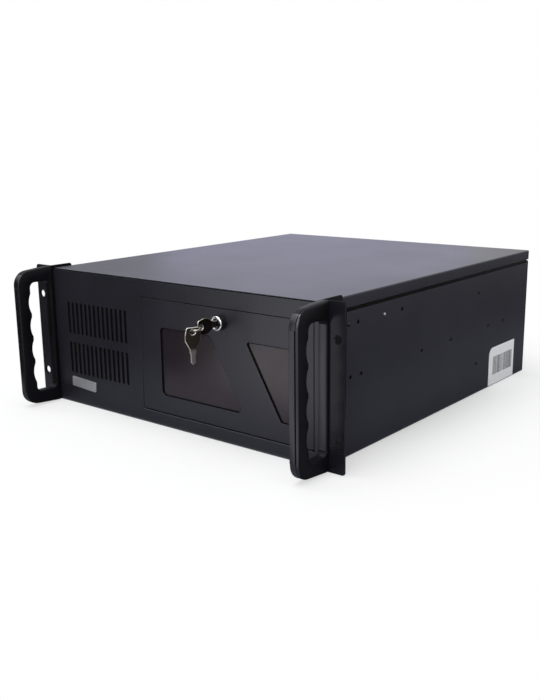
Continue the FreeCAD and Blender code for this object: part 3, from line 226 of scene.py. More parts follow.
# A dull near-black used as painted shade on slot walls, ear edges and in gaps.
shade_black = finish("shade_black", (0.002, 0.002, 0.002), 0.8, specular=0.1)
mottle(shade_black, 60, (0.0012, 0.0012, 0.0012), (0.003, 0.003, 0.003))
patches(shade_black, 50, 0.7, 0.9)
grain(shade_black, 1800, 0.00003, strength=0.3)
other_blacks = (handle_coat, handle_shade_coat, black_moulding, shade_black)
print("other blacks:", [material.name for material in other_blacks])

# %% [markdown]
# ## Bright metals
# Chrome on the lock, dark plating with nickel edges on the keys, zinc on the inner brackets and
# brushed silver on the badge.  They differ in how sharp the reflection is and in the direction
# of their marks: a stretched noise gives the brushing.  An anisotropic shader brushes metal too,
# but noise can be baked into plain textures, so the marks stay with the model.

# %% Metals of the lock, the keys and the badge
chrome = finish("chrome", (0.78, 0.78, 0.8), 0.08, metallic=1.0)
patches(chrome, 120, 0.05, 0.12)
grain(chrome, 260, 0.00002, strength=0.15)
key_steel = finish("key_steel", (0.03, 0.024, 0.019), 0.34, metallic=0.9)
mottle(key_steel, 160, (0.02, 0.016, 0.0125), (0.04, 0.031, 0.025))
patches(key_steel, 300, 0.28, 0.4)
grain(key_steel, 900, 0.00002, (1, 1, 6), 0.3)
dark_chrome = finish("dark_chrome", (0.2, 0.2, 0.21), 0.14, metallic=1.0)
mottle(dark_chrome, 400, (0.12, 0.12, 0.13), (0.27, 0.27, 0.28))
patches(dark_chrome, 300, 0.1, 0.2)
badge_silver = finish("badge_silver", (0.62, 0.62, 0.65), 0.34, metallic=0.75)
mottle(badge_silver, 220, (0.56, 0.56, 0.59), (0.7, 0.7, 0.73), (0.02, 1, 3))
patches(badge_silver, 180, 0.28, 0.42, (0.03, 1, 3))
grain(badge_silver, 900, 0.00003, (0.02, 1, 3), 0.4)
nickel = finish("nickel", (0.55, 0.52, 0.47), 0.25, metallic=1.0)
mottle(nickel, 160, (0.48, 0.44, 0.38), (0.62, 0.59, 0.55))
patches(nickel, 300, 0.16, 0.32)
grain(nickel, 900, 0.00002, (1, 1, 6), 0.3)
front_metals = (chrome, key_steel, dark_chrome, badge_silver, nickel)
print("metals in front:", [material.name for material in front_metals])

# %% Metals of brackets, heat sinks, screws, drives and pins
zinc = finish("zinc", (0.4, 0.41, 0.43), 0.45, metallic=1.0)
mottle(zinc, 26, (0.33, 0.34, 0.36), (0.46, 0.47, 0.49))
patches(zinc, 40, 0.4, 0.54)
grain(zinc, 300, 0.00003, (1, 8, 1), 0.25)
brushed = finish("brushed", (0.56, 0.57, 0.6), 0.34, metallic=1.0)
mottle(brushed, 220, (0.47, 0.48, 0.51), (0.64, 0.65, 0.68), (0.02, 1, 3))
patches(brushed, 180, 0.26, 0.42, (0.03, 1, 3))
grain(brushed, 900, 0.00003, (0.02, 1, 3), 0.4)
black_oxide = finish("black_oxide", (0.03, 0.03, 0.033), 0.35, metallic=0.8)
mottle(black_oxide, 300, (0.02, 0.02, 0.022), (0.05, 0.05, 0.055))
patches(black_oxide, 350, 0.25, 0.42)
cast_metal = finish("cast_metal", (0.42, 0.43, 0.45), 0.45, metallic=1.0)
mottle(cast_metal, 60, (0.36, 0.37, 0.39), (0.48, 0.49, 0.51))
patches(cast_metal, 80, 0.36, 0.55)
grain(cast_metal, 1400, 0.00004, strength=0.4)
brass = finish("brass", (0.6, 0.45, 0.2), 0.3, metallic=1.0)
mottle(brass, 200, (0.5, 0.36, 0.15), (0.66, 0.51, 0.24))
patches(brass, 240, 0.22, 0.38)
inner_metals = (zinc, brushed, black_oxide, cast_metal, brass)
print("metals inside:", [material.name for material in inner_metals])

# %% [markdown]
# ## Plastics, boards and light lenses
# The smoked window lets a little reddish light through and mostly mirrors the studio, so a dark
# shader with some transmission stands for it; clear glass would show too much behind the door.
# Circuit boards are green lacquer over copper lines.  The lines could be drawn one by one, but a
# noise stretched along the board suggests them well enough under the lid.

# %% Smoked window, boards and small plastics
window_smoke = finish("window_smoke", (0.024, 0.0175, 0.022), 0.24, specular=0.86)
mottle(window_smoke, 8, (0.02, 0.0145, 0.019), (0.028, 0.0205, 0.026))
patches(window_smoke, 6, 0.19, 0.28)
shader_of(window_smoke).inputs["Transmission Weight"].default_value = 0.3
tint_sheen(window_smoke, 1.0, 0.95, 1.0)
board_lacquer = finish("board_lacquer", (0.012, 0.06, 0.03), 0.4)
mottle(board_lacquer, 500, (0.008, 0.045, 0.022), (0.02, 0.085, 0.042), (1, 0.2, 1))
patches(board_lacquer, 60, 0.3, 0.5)
grain(board_lacquer, 700, 0.00004, (1, 0.1, 1), 0.5)
button_grey = finish("button_grey", (0.2, 0.21, 0.22), 0.42)
mottle(button_grey, 200, (0.18, 0.19, 0.2), (0.23, 0.24, 0.25))
patches(button_grey, 260, 0.36, 0.5)
lens_green = finish("lens_green", (0.12, 0.5, 0.16), 0.2)
mottle(lens_green, 300, (0.09, 0.42, 0.12), (0.16, 0.56, 0.2))
patches(lens_green, 300, 0.15, 0.28)
shader_of(lens_green).inputs["Transmission Weight"].default_value = 0.4
foam = finish("foam", (0.003, 0.003, 0.003), 0.95, specular=0.1)
mottle(foam, 900, (0.0015, 0.0015, 0.0015), (0.006, 0.006, 0.006))
grain(foam, 700, 0.0006)
glossy_black = finish("glossy_black", (0.012, 0.012, 0.012), 0.2)
mottle(glossy_black, 90, (0.009, 0.009, 0.009), (0.016, 0.016, 0.016))
patches(glossy_black, 200, 0.14, 0.26)
plastics = (window_smoke, board_lacquer, button_grey, lens_green, foam, glossy_black)
print("plastics:", [material.name for material in plastics])

# %% [markdown]
# ## Every CAD node gets its finish
# The record names a material slot for each node.  Materials could be given node by node, but one
# table from slots to finishes keeps pieces of the same stuff alike.  The nodes keep their meshes
# untouched: only their material changes.

# %% Finishes by slot
slot_finish = {
    "black_steel": body_coat, "black_panel": panel_coat, "black_handle": handle_coat,
    "brushed_badge": badge_silver, "smoked_window": window_smoke, "chrome": chrome,
    "plated_steel": zinc, "screw_steel": black_oxide, "key_metal": key_steel,
    "black_plastic": black_moulding, "button_plastic": button_grey, "light_lens": lens_green,
    "drive_casting": cast_metal, "filter_foam": foam, "circuit_board": board_lacquer,
    "brass_post": brass, "socket_plastic": black_moulding, "sink_aluminium": brushed,
    "supply_steel": zinc, "rocker_plastic": glossy_black, "fan_plastic": black_moulding,
}
node_slot = {entry["node"]: entry["material_slot"] for entry in frame["record"]["subparts"]}
for name, node in nodes.items():
    node.data.materials.clear()
    node.data.materials.append(slot_finish[node_slot[name]])
nodes["lock_plug"].data.materials[0] = dark_chrome
print(len(nodes), "nodes dressed in", len(set(slot_finish.values())), "finishes")

# %% [markdown]
# ## Helpers for meshes
# A folded sheet never has a knife edge.  The helper soften copies a CAD node, merges its loose
# triangles and rounds its sharp edges; the copy then stands for the node.  A Bevel modifier can
# do this too, but the mesh operator also hands back the new faces, which can then get a finish of
# their own.  The shading gives the large faces more weight, so that the rounding doesn't bend the
# light on the flat sheets.

# %% From a mesh to a piece
def to_mesh(name, work):
    """A mesh from a bmesh, which is freed."""
    mesh = bpy.data.meshes.new(name)
    work.to_mesh(mesh)
    work.free()
    return mesh


def smooth(mesh, degrees=35):
    """Shade smooth, but keep edges sharper than the angle."""
    mesh.shade_smooth()
    mesh.set_sharp_from_angle(angle=math.radians(degrees))
    return mesh


def put(name, mesh, material, body, stands_for=()):
    """A finished piece that rides on a body, and may stand for CAD nodes."""
    piece = bpy.data.objects.new(name, mesh)
    bpy.context.scene.collection.objects.link(piece)
    if mesh.materials:
        mesh.materials[0] = material
    else:
        mesh.materials.append(material)
    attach(piece, body)
    if stands_for:
        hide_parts(*stands_for)
    print(name, len(mesh.polygons), "faces on", body)


# %% Rounding a CAD node
weld, flat_angle, sharp_angle = 0.000002, math.radians(0.5), math.radians(40)


def merged(node):
    """A bmesh copy of a CAD node with its triangles joined and flat areas cleaned."""
    work = bmesh.new()
    work.from_mesh(nodes[node].data)
    bmesh.ops.remove_doubles(work, verts=work.verts, dist=weld)
    bmesh.ops.dissolve_limit(work, angle_limit=flat_angle, verts=work.verts, edges=work.edges)
    return work


def soften(node, width, edge_finish=None, inner=True):
    """A piece with rounded edges that stands for a CAD node; inner corners can stay sharp."""
    work = merged(node)
    sharp = [edge for edge in work.edges
             if edge.calc_face_angle(0) > sharp_angle and (inner or edge.is_convex)]
    rounded = bmesh.ops.bevel(work, geom=sharp, offset=width, segments=2, profile=0.5,
                              affect="EDGES")
    for face in rounded["faces"]:
        face.material_index = 1 if edge_finish else 0
    plain = bpy.data.objects.new(node + "_plain", smooth(to_mesh(node, work)))
    bpy.context.scene.collection.objects.link(plain)
    weigh = plain.modifiers.new("weigh", "WEIGHTED_NORMAL")
    weigh.weight = 100
    weigh.keep_sharp = True
    graph = bpy.context.evaluated_depsgraph_get()
    mesh = bpy.data.meshes.new_from_object(plain.evaluated_get(graph), depsgraph=graph)
    bpy.data.objects.remove(plain)
    slot = node_slot[node]
    put(node + "_rounded", mesh, slot_finish[slot], node_body[node], [node])
    if edge_finish:
        mesh.materials.append(edge_finish)


# %% [markdown]
# ## Sheet metal with rounded edges
# The lid, the panel, the door and the ears catch a thin line of light along their edges.  A
# rounding of a few tenths of a millimetre is enough, because the sheets are only a millimetre
# or two thick.  A bump in the material could fake that line, but a real rounding also shows in
# the outline.  Covers, brackets and mouldings inside get the same care.  A button keeps the sharp
# corner behind its flange, because its stem slides into the switch up to there.

# %% Rounded sheets and mouldings
edge_widths = {
    "lid": 0.00025, "base_tray": 0.0002, "front_panel": 0.0003, "front_door": 0.00025,
    "right_ear": 0.0004, "left_ear": 0.0004, "badge_plate": 0.0002, "rear_panel": 0.00015,
    "bay_frame": 0.0002, "slot_covers": 0.00015, "bay_cover_1": 0.0004, "bay_cover_2": 0.0004,
    "bay_cover_3": 0.0004, "power_button": 0.0007, "reset_button": 0.0005, "drive_cage": 0.0002,
    "hold_down_bar": 0.0002, "psu_case": 0.00025, "hard_drive_1": 0.0006, "hard_drive_2": 0.0006,
    "rocker_switch": 0.0003,
}
for name, width in edge_widths.items():
    soften(name, width, inner=not name.endswith("_button"))

# %% [markdown]
# ## Finishes that a slot can't tell
# The right ear is smoother than the panel, so the handle mirrors in it, and its coat is a little
# darker as painted shade from the handle; the left ear has the panel's coat.  The upper and inner
# edges of both ears are painted near-black as shade, and so are the walls of the narrow air slots.
# The ledge under the door is painted light grey, a painted light that lifts the shaded gap there.
# A painted mask could mark such areas; here their faces are picked by place and direction,
# which needs no map.

# %% A helper that gives some faces another finish
def refinish(piece, material, chosen):
    """Gives a material to the faces of a piece that a test chooses."""
    mesh = bpy.data.objects[piece].data
    mesh.materials.append(material)
    faces = [face for face in mesh.polygons if chosen(face)]
    for face in faces:
        face.material_index = len(mesh.materials) - 1
    print(piece, "has", len(faces), "faces in", material.name)


# %% Ears: their coats, with painted shade on the upper and inner edges
# The right ear's darker coat and the near-black upper and inner edges are painted shade.
for name, coat, side in (("right_ear", shaded_ear_coat, 1), ("left_ear", panel_coat, -1)):
    bpy.data.objects[name + "_rounded"].data.materials[0] = coat
    refinish(name + "_rounded", shade_black,
             lambda face: face.normal.z > 0.3 or side * face.normal.x < -0.3)

# %% Painted shade on the walls of the air slots, painted light on the sill under the door
vents_x, vents_z = (-0.195, -0.07), (0.035, 0.14)
# The slot walls are painted near-black as shade.
refinish("front_panel_rounded", shade_black,
         lambda face: abs(face.normal.y) < 0.95 and vents_x[0] < face.center.x < vents_x[1]
         and vents_z[0] < face.center.z < vents_z[1])
# A light grey on the ledge under the door: painted light that lifts the shaded gap below the door.
painted_light_sill = finish("painted_light_sill", (0.12, 0.12, 0.135), 0.5)
mottle(painted_light_sill, 90, (0.1, 0.1, 0.113), (0.14, 0.14, 0.155))
patches(painted_light_sill, 60, 0.44, 0.56)
door_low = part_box("front_door")[0].z
for name in ("front_panel_rounded", "bay_frame_rounded"):
    refinish(name, painted_light_sill,
             lambda face: face.normal.z > 0.7 and -0.004 < face.center.z - door_low < 0.002)

# %% [markdown]
# ## Outlines, lofts and turned shapes
# Most solid pieces here are a closed outline carried through space.  An outline can be given
# rounded corners and be moved in or out, a loft joins a row of such outlines with walls, and a
# turned shape is a loft of circles.  Extruding and bevelling by hand gives the same forms, but
# points in code keep every size readable.

# %% Outlines
def outline_of(corners, steps=8):
    """A closed outline from (u, v, radius) corners, with arcs for the radii."""
    points = []
    for i, (u, v, radius) in enumerate(corners):
        here = Vector((u, v))
        before = (Vector(corners[i - 1][:2]) - here).normalized()
        after = (Vector(corners[(i + 1) % len(corners)][:2]) - here).normalized()
        if radius == 0:
            points.append(here)
            continue
        half = before.angle(after) / 2
        middle = here + (before + after).normalized() * (radius / math.sin(half))
        first = here + before * (radius / math.tan(half)) - middle
        last = here + after * (radius / math.tan(half)) - middle
        points += [middle + first.slerp(last, k / steps) * radius for k in range(steps + 1)]
    return points


def moved_in(points, distance):
    """A counter-clockwise outline moved inwards, or outwards for a negative distance."""
    result = []
    for i, here in enumerate(points):
        one = (here - points[i - 1]).normalized()
        two = (points[(i + 1) % len(points)] - here).normalized()
        inward = Vector((-one.y - two.y, one.x + two.x)).normalized()
        result.append(here + inward * distance / max(0.5, inward.dot(Vector((-one.y, one.x)))))
    return result


# %% Lofts and turned shapes
def loft(work, loops, caps=True):
    """Walls between closed loops of points, and flat ends."""
    rows = [[work.verts.new(p) for p in loop] for loop in loops]
    for low, high in zip(rows, rows[1:]):
        for i in range(len(low)):
            work.faces.new((low[i - 1], low[i], high[i], high[i - 1]))
    if caps:
        work.faces.new(rows[0][::-1])
        work.faces.new(rows[-1])
    return rows


def turned(work, profile, centre, axis, segments=48, caps=True):
    """A turned shape from (radius, along) pairs in millimetres about an axis."""
    across = axis.orthogonal().normalized()
    up = axis.cross(across)
    turns = [2 * math.pi * i / segments for i in range(segments)]
    loops = []
    for radius, along in profile:
        middle = centre + axis * (along / 1000)
        loops.append([middle + (across * math.cos(t) + up * math.sin(t)) * (radius / 1000)
                      for t in turns])
    return loft(work, loops, caps)


# %% Faces with a hole, and closed meshes
def fill_between(work, outer, inner):
    """A flat face with a hole, from two loops of vertices."""
    edges = [work.edges.get((row[i - 1], row[i])) for row in (outer, inner)
             for i in range(len(row))]
    bmesh.ops.triangle_fill(work, edges=edges, use_beauty=True)


def closed(name, work, degrees=35):
    """A smooth mesh whose doubles are merged and whose faces point outwards."""
    bmesh.ops.remove_doubles(work, verts=work.verts, dist=0.000001)
    bmesh.ops.recalc_face_normals(work, faces=work.faces)
    return smooth(to_mesh(name, work), degrees)


# %% [markdown]
# ## The loop handles
# A handle is a cast loop with a rounded rim, four finger recesses inside its grip, a fine groove
# round the outer edge and a raised strip along the front.  It could be cut from a block with
# Booleans, but a loft across the thickness leaves a cleaner rim and groove: the rim profile below
# says how far the outline is drawn in at each step, and mirrored points give the other side.

# %% Outlines and profiles of a handle
handle_rear, handle_front, grip_back = -4.0, -54.6, -37.3
finger_length, finger_depth, finger_pitch, handle_middle = 25.0, 3.2, 29.7, 88.5
handle_rim = outline_of([(handle_rear, 0, 0), (handle_rear, 177, 0), (handle_front, 173, 18),
                         (handle_front, 4, 18)], 12)
recess_radius = (finger_length ** 2 / 4 + finger_depth ** 2) / (2 * finger_depth)
grip_edge = []
for i in range(4):
    for k in range(13):
        t = finger_length * (0.5 - k / 12)
        depth = math.sqrt(recess_radius ** 2 - t ** 2) - (recess_radius - finger_depth)
        grip_edge.append((grip_back - depth, handle_middle + (1.5 - i) * finger_pitch + t, 0))
handle_slot = outline_of([(-7, 18, 7), (-7, 159, 7), (grip_back, 159, 7), *grip_edge,
                          (grip_back, 18, 7)])
rim_profile = [(211.3, 0.9), (211.55, 0.3), (212.2, 0), (218.9, 0), (219.05, 0.7), (219.6, 0.7),
               (219.75, 0), (220.2, 0), (221.2, 0.25), (221.9, 0.9), (222.3, 2.0)]
strip_profile = [(-54.0, 0), (-55.1, 0), (-55.4, 0.15), (-55.5, 0.5)]
slot_profile = [(211.3, 1.0), (211.6, 0.3), (212.3, 0), (221.3, 0), (222.0, 0.3), (222.3, 1.0)]
print("handle outline of", len(handle_rim), "points, its gap of", len(handle_slot))


# %% Handles
def handle_mesh(name, side):
    """Loop of one handle, for the right side (1) or the left side (-1)."""
    work = bmesh.new()
    rims = []
    for x, inset in rim_profile:
        flat = [Vector((handle_rear, p.y)) if q.x == handle_rear else p
                for p, q in zip(moved_in(handle_rim, inset), handle_rim)]
        rims.append([mm(side * x, u, v) for u, v in flat])
    slots = [[mm(side * x, u, v) for u, v in moved_in(handle_slot, -grow)]
             for x, grow in slot_profile]
    outer = loft(work, rims, caps=False)
    inner = loft(work, slots, caps=False)
    fill_between(work, outer[0], inner[0])
    fill_between(work, outer[-1], inner[-1])
    strip = outline_of([(211.8, 22, 1), (218.6, 22, 1), (218.6, 155, 1), (211.8, 155, 1)])
    loft(work, [[mm(side * x, y, z) for x, z in moved_in(strip, inset)]
                for y, inset in strip_profile])
    return closed(name, work, 50)


gloss_from = -0.27


def keeps_lit_coat(face, side):
    """Whether a face keeps the glossy coat as painted light: a handle's front, and the right rear
    bar's front.
    """
    return face.normal.y < -0.6 and (face.center.y < gloss_from or side * face.normal.y < -0.97)


# Faces outside that test get the duller, darker copy of the coat, as painted shade.
for side, node in ((1, "right_handle"), (-1, "left_handle")):
    put(node + "_cast", handle_mesh(node, side), handle_coat, "chassis", [node])
    refinish(node + "_cast", handle_shade_coat, lambda face: not keeps_lit_coat(face, side))

# %% [markdown]
# ## The lock and its keys
# The lock is a turned housing, so one profile describes it all: a black barrel behind a chrome
# collar that is rounded at its front.  The two keys are punched from dark plated sheet, and their
# rubbed edges shine; the spare key's blade is rubbed bare up to its bow.  They ride on a split
# ring: a wire that runs round twice and steps over itself in one place.  A torus would be
# quicker, but without the step nobody would read it as a key ring.

# %% Lock housing
front = Vector((0, -1, 0))
plug_low, plug_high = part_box("lock_plug")
lock_centre = mm((plug_low.x + plug_high.x) * 500, 0, 137)
lock_profile = [(4.66, -11), (6, -11), (6, 0), (8.3, 0), (8.3, 7.7), (8.15, 8.3), (7.8, 8.75),
                (7.25, 9), (6.6, 9), (5.9, 8.8), (5.4, 8.4), (5.1, 7.9), (4.66, 7.7), (4.66, -11)]
collar_back, collar_bore = -0.0076, 0.0052


def is_barrel(face):
    """Whether a face of the lock lies behind the chrome collar or inside it."""
    off_axis = face.center - lock_centre
    return off_axis.y > collar_back or math.hypot(off_axis.x, off_axis.z) < collar_bore


work = bmesh.new()
turned(work, lock_profile, lock_centre, front, 64, caps=False)
put("lock_collar", closed("lock_collar", work), chrome, node_body["lock_housing"],
    ["lock_housing"])
refinish("lock_collar", black_oxide, is_barrel)

# %% Split ring
ring_radius, wire_radius, ring_start = 0.0054, 0.0004, 2.2
ring_low, ring_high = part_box("key_ring")
ring_centre = (ring_low + ring_high) / 2
ring_tilt = math.radians(4)
ring_axis = Vector((0, math.sin(ring_tilt), -math.cos(ring_tilt)))
ring_side = Vector((1, 0, 0))
ring_up = ring_axis.cross(ring_side)
ring_steps = 120
loops = []
for k in range(ring_steps + 1):
    t = 4 * math.pi * k / ring_steps
    step = min(1, max(0, (t - 1.8 * math.pi) / (0.4 * math.pi)))
    level = (step * step * (3 - 2 * step) - 0.5) * 2 * wire_radius
    radial = ring_side * math.cos(t + ring_start) + ring_up * math.sin(t + ring_start)
    middle = ring_centre + radial * ring_radius + ring_axis * level
    loops.append([middle + (radial * math.cos(a) + ring_axis * math.sin(a)) * wire_radius
                  for a in [math.pi * i / 5 for i in range(10)]])
work = bmesh.new()
loft(work, loops)
put("split_ring", closed("split_ring", work, 60), nickel, node_body["key_ring"],
    ["key_ring"])


# %% Keys
def by_height(material, stops, stretch=1):
    """Base colour that changes with height; the ramp spans 1 / stretch metres from the ground."""
    height = add_node(material, "ShaderNodeSeparateXYZ")
    material.node_tree.links.new(place(material, (1, 1, stretch)), height.inputs["Vector"])
    tones = ramp(material, height.outputs["Z"], stops)
    material.node_tree.links.new(tones, shader_of(material).inputs["Base Color"])
    return tones.node


for name in ("key", "spare_key"):
    soften(name, 0.0007, edge_finish=nickel)
rubbed_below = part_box("spare_key")[0].z + 0.0165
dark_plating, bare_steel = (0.03, 0.024, 0.019), (0.19, 0.172, 0.168)
spare_steel = finish("spare_steel", dark_plating, 0.34, metallic=0.9)
by_height(spare_steel, [(rubbed_below - 0.002, bare_steel), (rubbed_below, dark_plating)])
patches(spare_steel, 300, 0.28, 0.4)
grain(spare_steel, 900, 0.00002, (1, 1, 6), 0.3)
bpy.data.objects["spare_key_rounded"].data.materials[0] = spare_steel

# %% [markdown]
# ## Dark lips as painted shade
# A near-black edging lines the two windows of the door: it covers the cut edge of the sheet and
# laps about a millimetre over the smoked pane, more on the left, so the pane looks deep set; it is
# painted shade along the pane's edges.  A strip of the same near-black lies on the shoulder of the
# body and is painted shade in the gap under the lid's skirt.  Both could be dark stripes in the
# coat, but only a real lip hides what lies behind it.

# %% Window edgings, painted shade
pane_outlines = [
    outline_of([(-20.325, 38.2, 6), (106.5, 38.2, 6), (58.9, 120, 6), (-20.325, 120, 6)]),
    outline_of([(157.5, 38.2, 2.9), (169, 38.2, 2.9), (169, 120, 2.9), (109.9, 120, 2.9)]),
]
# The lip laps further on the left, where the pane's edge lies in shade: painted shade.
shade_lip_shift = 0.6
shade_lip_profile = [(0.02, 0.25, 0), (0.3, 0.25, 0), (0.3, 1.7, 0), (1.1, 1.7, shade_lip_shift),
                  (1.1, 1.98, shade_lip_shift), (0.02, 1.98, 0), (0.02, 0.25, 0)]
work = bmesh.new()
for outline in pane_outlines:
    loft(work, [[mm(x + shift, depth, z) for x, z in moved_in(outline, inset)]
                for inset, depth, shift in shade_lip_profile], caps=False)
put("window_edgings", closed("window_edgings", work), shade_black, node_body["front_door"])

# %% Strips under the lid's skirt, painted shade
# A near-black strip on the body's shoulder: painted shade in the gap under the lid's skirt.
shade_strip_section = outline_of([(210.2, 158.52, 0), (212.52, 158.52, 0), (212.52, 157.3, 0),
                            (212.72, 157.3, 0.1), (212.72, 160.2, 0.5), (210.2, 160.2, 0.5)], 4)
work = bmesh.new()
for side in (1, -1):
    loft(work, [[mm(side * x, y, z) for x, z in moved_in(shade_strip_section, inset)]
                for y, inset in [(30.6, 0.06), (30.7, 0), (490.9, 0), (491.0, 0.06)]])
put("lid_strips", closed("lid_strips", work), shade_black, "chassis")

# %% [markdown]
# ## Geometry Nodes that stamp a shape on seats
# Screws, capacitors and chips all repeat one shape at many places.  Each could be an object of
# its own, but a tree keeps the places in one list and the copies in one piece.  It takes a mesh
# of points, each with the direction in which its shape faces, and puts a copy of a template on
# every point.  It ends in real faces with a material, and the result is kept as a plain mesh.

# %% Both ends of a tree
def geometry_tree(name, inputs):
    """An empty geometry tree with named inputs, and its two end nodes."""
    tree = bpy.data.node_groups.new(name, "GeometryNodeTree")
    tree.interface.new_socket("Geometry", in_out="INPUT", socket_type="NodeSocketGeometry")
    for title, kind in inputs:
        tree.interface.new_socket(title, in_out="INPUT", socket_type="NodeSocket" + kind)
    tree.interface.new_socket("Geometry", in_out="OUTPUT", socket_type="NodeSocketGeometry")
    return tree, tree.nodes.new("NodeGroupInput"), tree.nodes.new("NodeGroupOutput")


def end_tree(tree, start, end, geometry):
    """Real faces and a material at the end of a tree."""
    real = tree.nodes.new("GeometryNodeRealizeInstances")
    paint = tree.nodes.new("GeometryNodeSetMaterial")
    tree.links.new(geometry, real.inputs["Geometry"])
    tree.links.new(real.outputs[0], paint.inputs["Geometry"])
    tree.links.new(start.outputs["Finish"], paint.inputs["Material"])
    tree.links.new(paint.outputs[0], end.inputs[0])


# %% Growing a mesh from a tree, and links
def grown(name, tree, seed_mesh, values):
    """The plain mesh that a tree grows from a seed mesh."""
    carrier = bpy.data.objects.new(name, seed_mesh)
    bpy.context.scene.collection.objects.link(carrier)
    modifier = carrier.modifiers.new("tree", "NODES")
    modifier.node_group = tree
    for item in tree.interface.items_tree:
        if item.in_out == "INPUT" and item.name in values:
            modifier[item.identifier] = values[item.name]
    graph = bpy.context.evaluated_depsgraph_get()
    mesh = bpy.data.meshes.new_from_object(carrier.evaluated_get(graph), depsgraph=graph)
    mesh.name = name
    bpy.data.objects.remove(carrier)
    return mesh


def wire(tree, *pairs):
    """Links from sockets to sockets of a tree."""
    for source, target in pairs:
        tree.links.new(source, target)


# %% A tree that stamps a template
stamp_tree, start, end = geometry_tree(
    "stamp_on_seats", [("Shape", "Object"), ("Size", "Float"), ("Finish", "Material")])
shape = stamp_tree.nodes.new("GeometryNodeObjectInfo")
facing = stamp_tree.nodes.new("GeometryNodeInputNamedAttribute")
facing.data_type = "FLOAT_VECTOR"
facing.inputs["Name"].default_value = "facing"
align = stamp_tree.nodes.new("FunctionNodeAlignRotationToVector")
align.axis = "Z"
stamp = stamp_tree.nodes.new("GeometryNodeInstanceOnPoints")
wire(stamp_tree, (start.outputs["Shape"], shape.inputs["Object"]),
     (facing.outputs["Attribute"], align.inputs["Vector"]),
     (start.outputs["Geometry"], stamp.inputs["Points"]),
     (shape.outputs["Geometry"], stamp.inputs["Instance"]),
     (align.outputs[0], stamp.inputs["Rotation"]),
     (start.outputs["Size"], stamp.inputs["Scale"]))
end_tree(stamp_tree, start, end, stamp.outputs[0])


def stamp_piece(name, template, seats, material, size=1.0, node=None):
    """A piece with a template on every (point, facing) seat, which may stand for a CAD node."""
    seed_mesh = bpy.data.meshes.new(name + "_seats")
    seed_mesh.from_pydata([tuple(point) for point, _ in seats], [], [])
    directions = seed_mesh.attributes.new("facing", "FLOAT_VECTOR", "POINT")
    for item, (_, direction) in zip(directions.data, seats):
        item.vector = direction
    pattern = bpy.data.objects.new(name + "_pattern", template)
    mesh = grown(name, stamp_tree, seed_mesh, {"Shape": pattern, "Size": size, "Finish": material})
    bpy.data.objects.remove(pattern)
    put(name, mesh, material, node_body.get(node, "chassis"), [node] if node else ())


# %% [markdown]
# ## Screws
# The pan-head screws share one template: a domed head with a cross recess and a short shank.
# The recess is a plus-shaped well that narrows downwards.  A Boolean could cut it; filling in
# between the round head and the plus needs fewer faces, which counts in a shape that repeats.
# The three thumbscrews at the back have a knurled grip with a dished end.

# %% Loops for screws and one screw
def circle(radius, height, count=32, ripple=0.0):
    """A loop about Z in millimetres; a ripple moves every other point in."""
    turns = [2 * math.pi * i / count for i in range(count)]
    radii = [radius - ripple * (i % 2) for i in range(count)]
    return [Vector((r * math.cos(t), r * math.sin(t), height)) / 1000 for r, t in zip(radii, turns)]


def plus(reach, half, height):
    """A plus-shaped loop about Z in millimetres."""
    quarter = [(reach, -half), (reach, half), (half, half)]
    points = []
    for i in range(4):
        for x, y in quarter:
            for _ in range(i):
                x, y = -y, x
            points.append(Vector((x, y, height)) / 1000)
    return points


work = bmesh.new()
head = [(1.6, -2.5), (1.6, 0), (3.5, 0), (3.5, 0.7), (3.35, 1.3), (2.9, 1.8), (2.2, 2.1)]
rows = loft(work, [circle(radius, height) for radius, height in head], caps=False)
wells = loft(work, [plus(1.6, 0.45, 2.1), plus(1.1, 0.28, 0.9)], caps=False)
fill_between(work, rows[-1], wells[0])
work.faces.new(wells[-1])
work.faces.new(rows[0])
screw_shape = closed("screw_shape", work)
print("one screw has", len(screw_shape.polygons), "faces")

# %% Pan-head screws: handles, ears, drive cage and slot covers
rear, up = Vector((0, 1, 0)), Vector((0, 0, 1))
seats, small_seats, bright_seats = [], [], []
for side in (1, -1):
    outward = Vector((side, 0, 0))
    seats += [(mm(side * 218.6, -1.5, z), rear) for z in (10, 167)]
    seats += [(mm(side * 215.0, 18, z), outward) for z in (20, 138.5)]
    small_seats.append((mm(side * 212.5, 44.6, 143.5), outward))
    bright_seats.append((mm(side * 212.5, 113.3, 143.5), outward))
seats += [(mm(-73.8 - 20.32 * i, 492.5, 118.3), rear) for i in range(7)]
stamp_piece("screws", screw_shape, seats, black_oxide, node="pan_head_screws")
stamp_piece("cage_screws", screw_shape, bright_seats, zinc, 0.55)
stamp_piece("cage_front_screws", screw_shape, small_seats, black_oxide, 0.7)

# %% Thumbscrews of the lid
knurled = [(1.9, -9, 0), (1.9, 0, 0), (4.3, 0, 0), (4.8, 0.5, 0.1), (5.0, 0.9, 0.35),
           (5.0, 6.6, 0.35), (4.8, 7.1, 0.1), (4.3, 7.5, 0), (3.0, 7.5, 0), (2.8, 7.0, 0),
           (1.0, 7.0, 0)]
work = bmesh.new()
loft(work, [circle(radius, height, 64, ripple) for radius, height, ripple in knurled])
seats = [(mm(x, 494.5, 167.5), rear) for x in (-150, 0, 150)]
stamp_piece("thumbscrews", closed("thumb_shape", work), seats, black_oxide,
            node="lid_thumbscrews")

# %% [markdown]
# ## The label on the side
# A white paper sticker sits low on the right side, near the back, with one large round corner.
# It carries a plain block of dark bars.  They could be stripes in the paper's material, but thin
# blocks keep sharp ends from near by.  A tree grows them from a line of points, and a seeded
# random width makes them uneven.

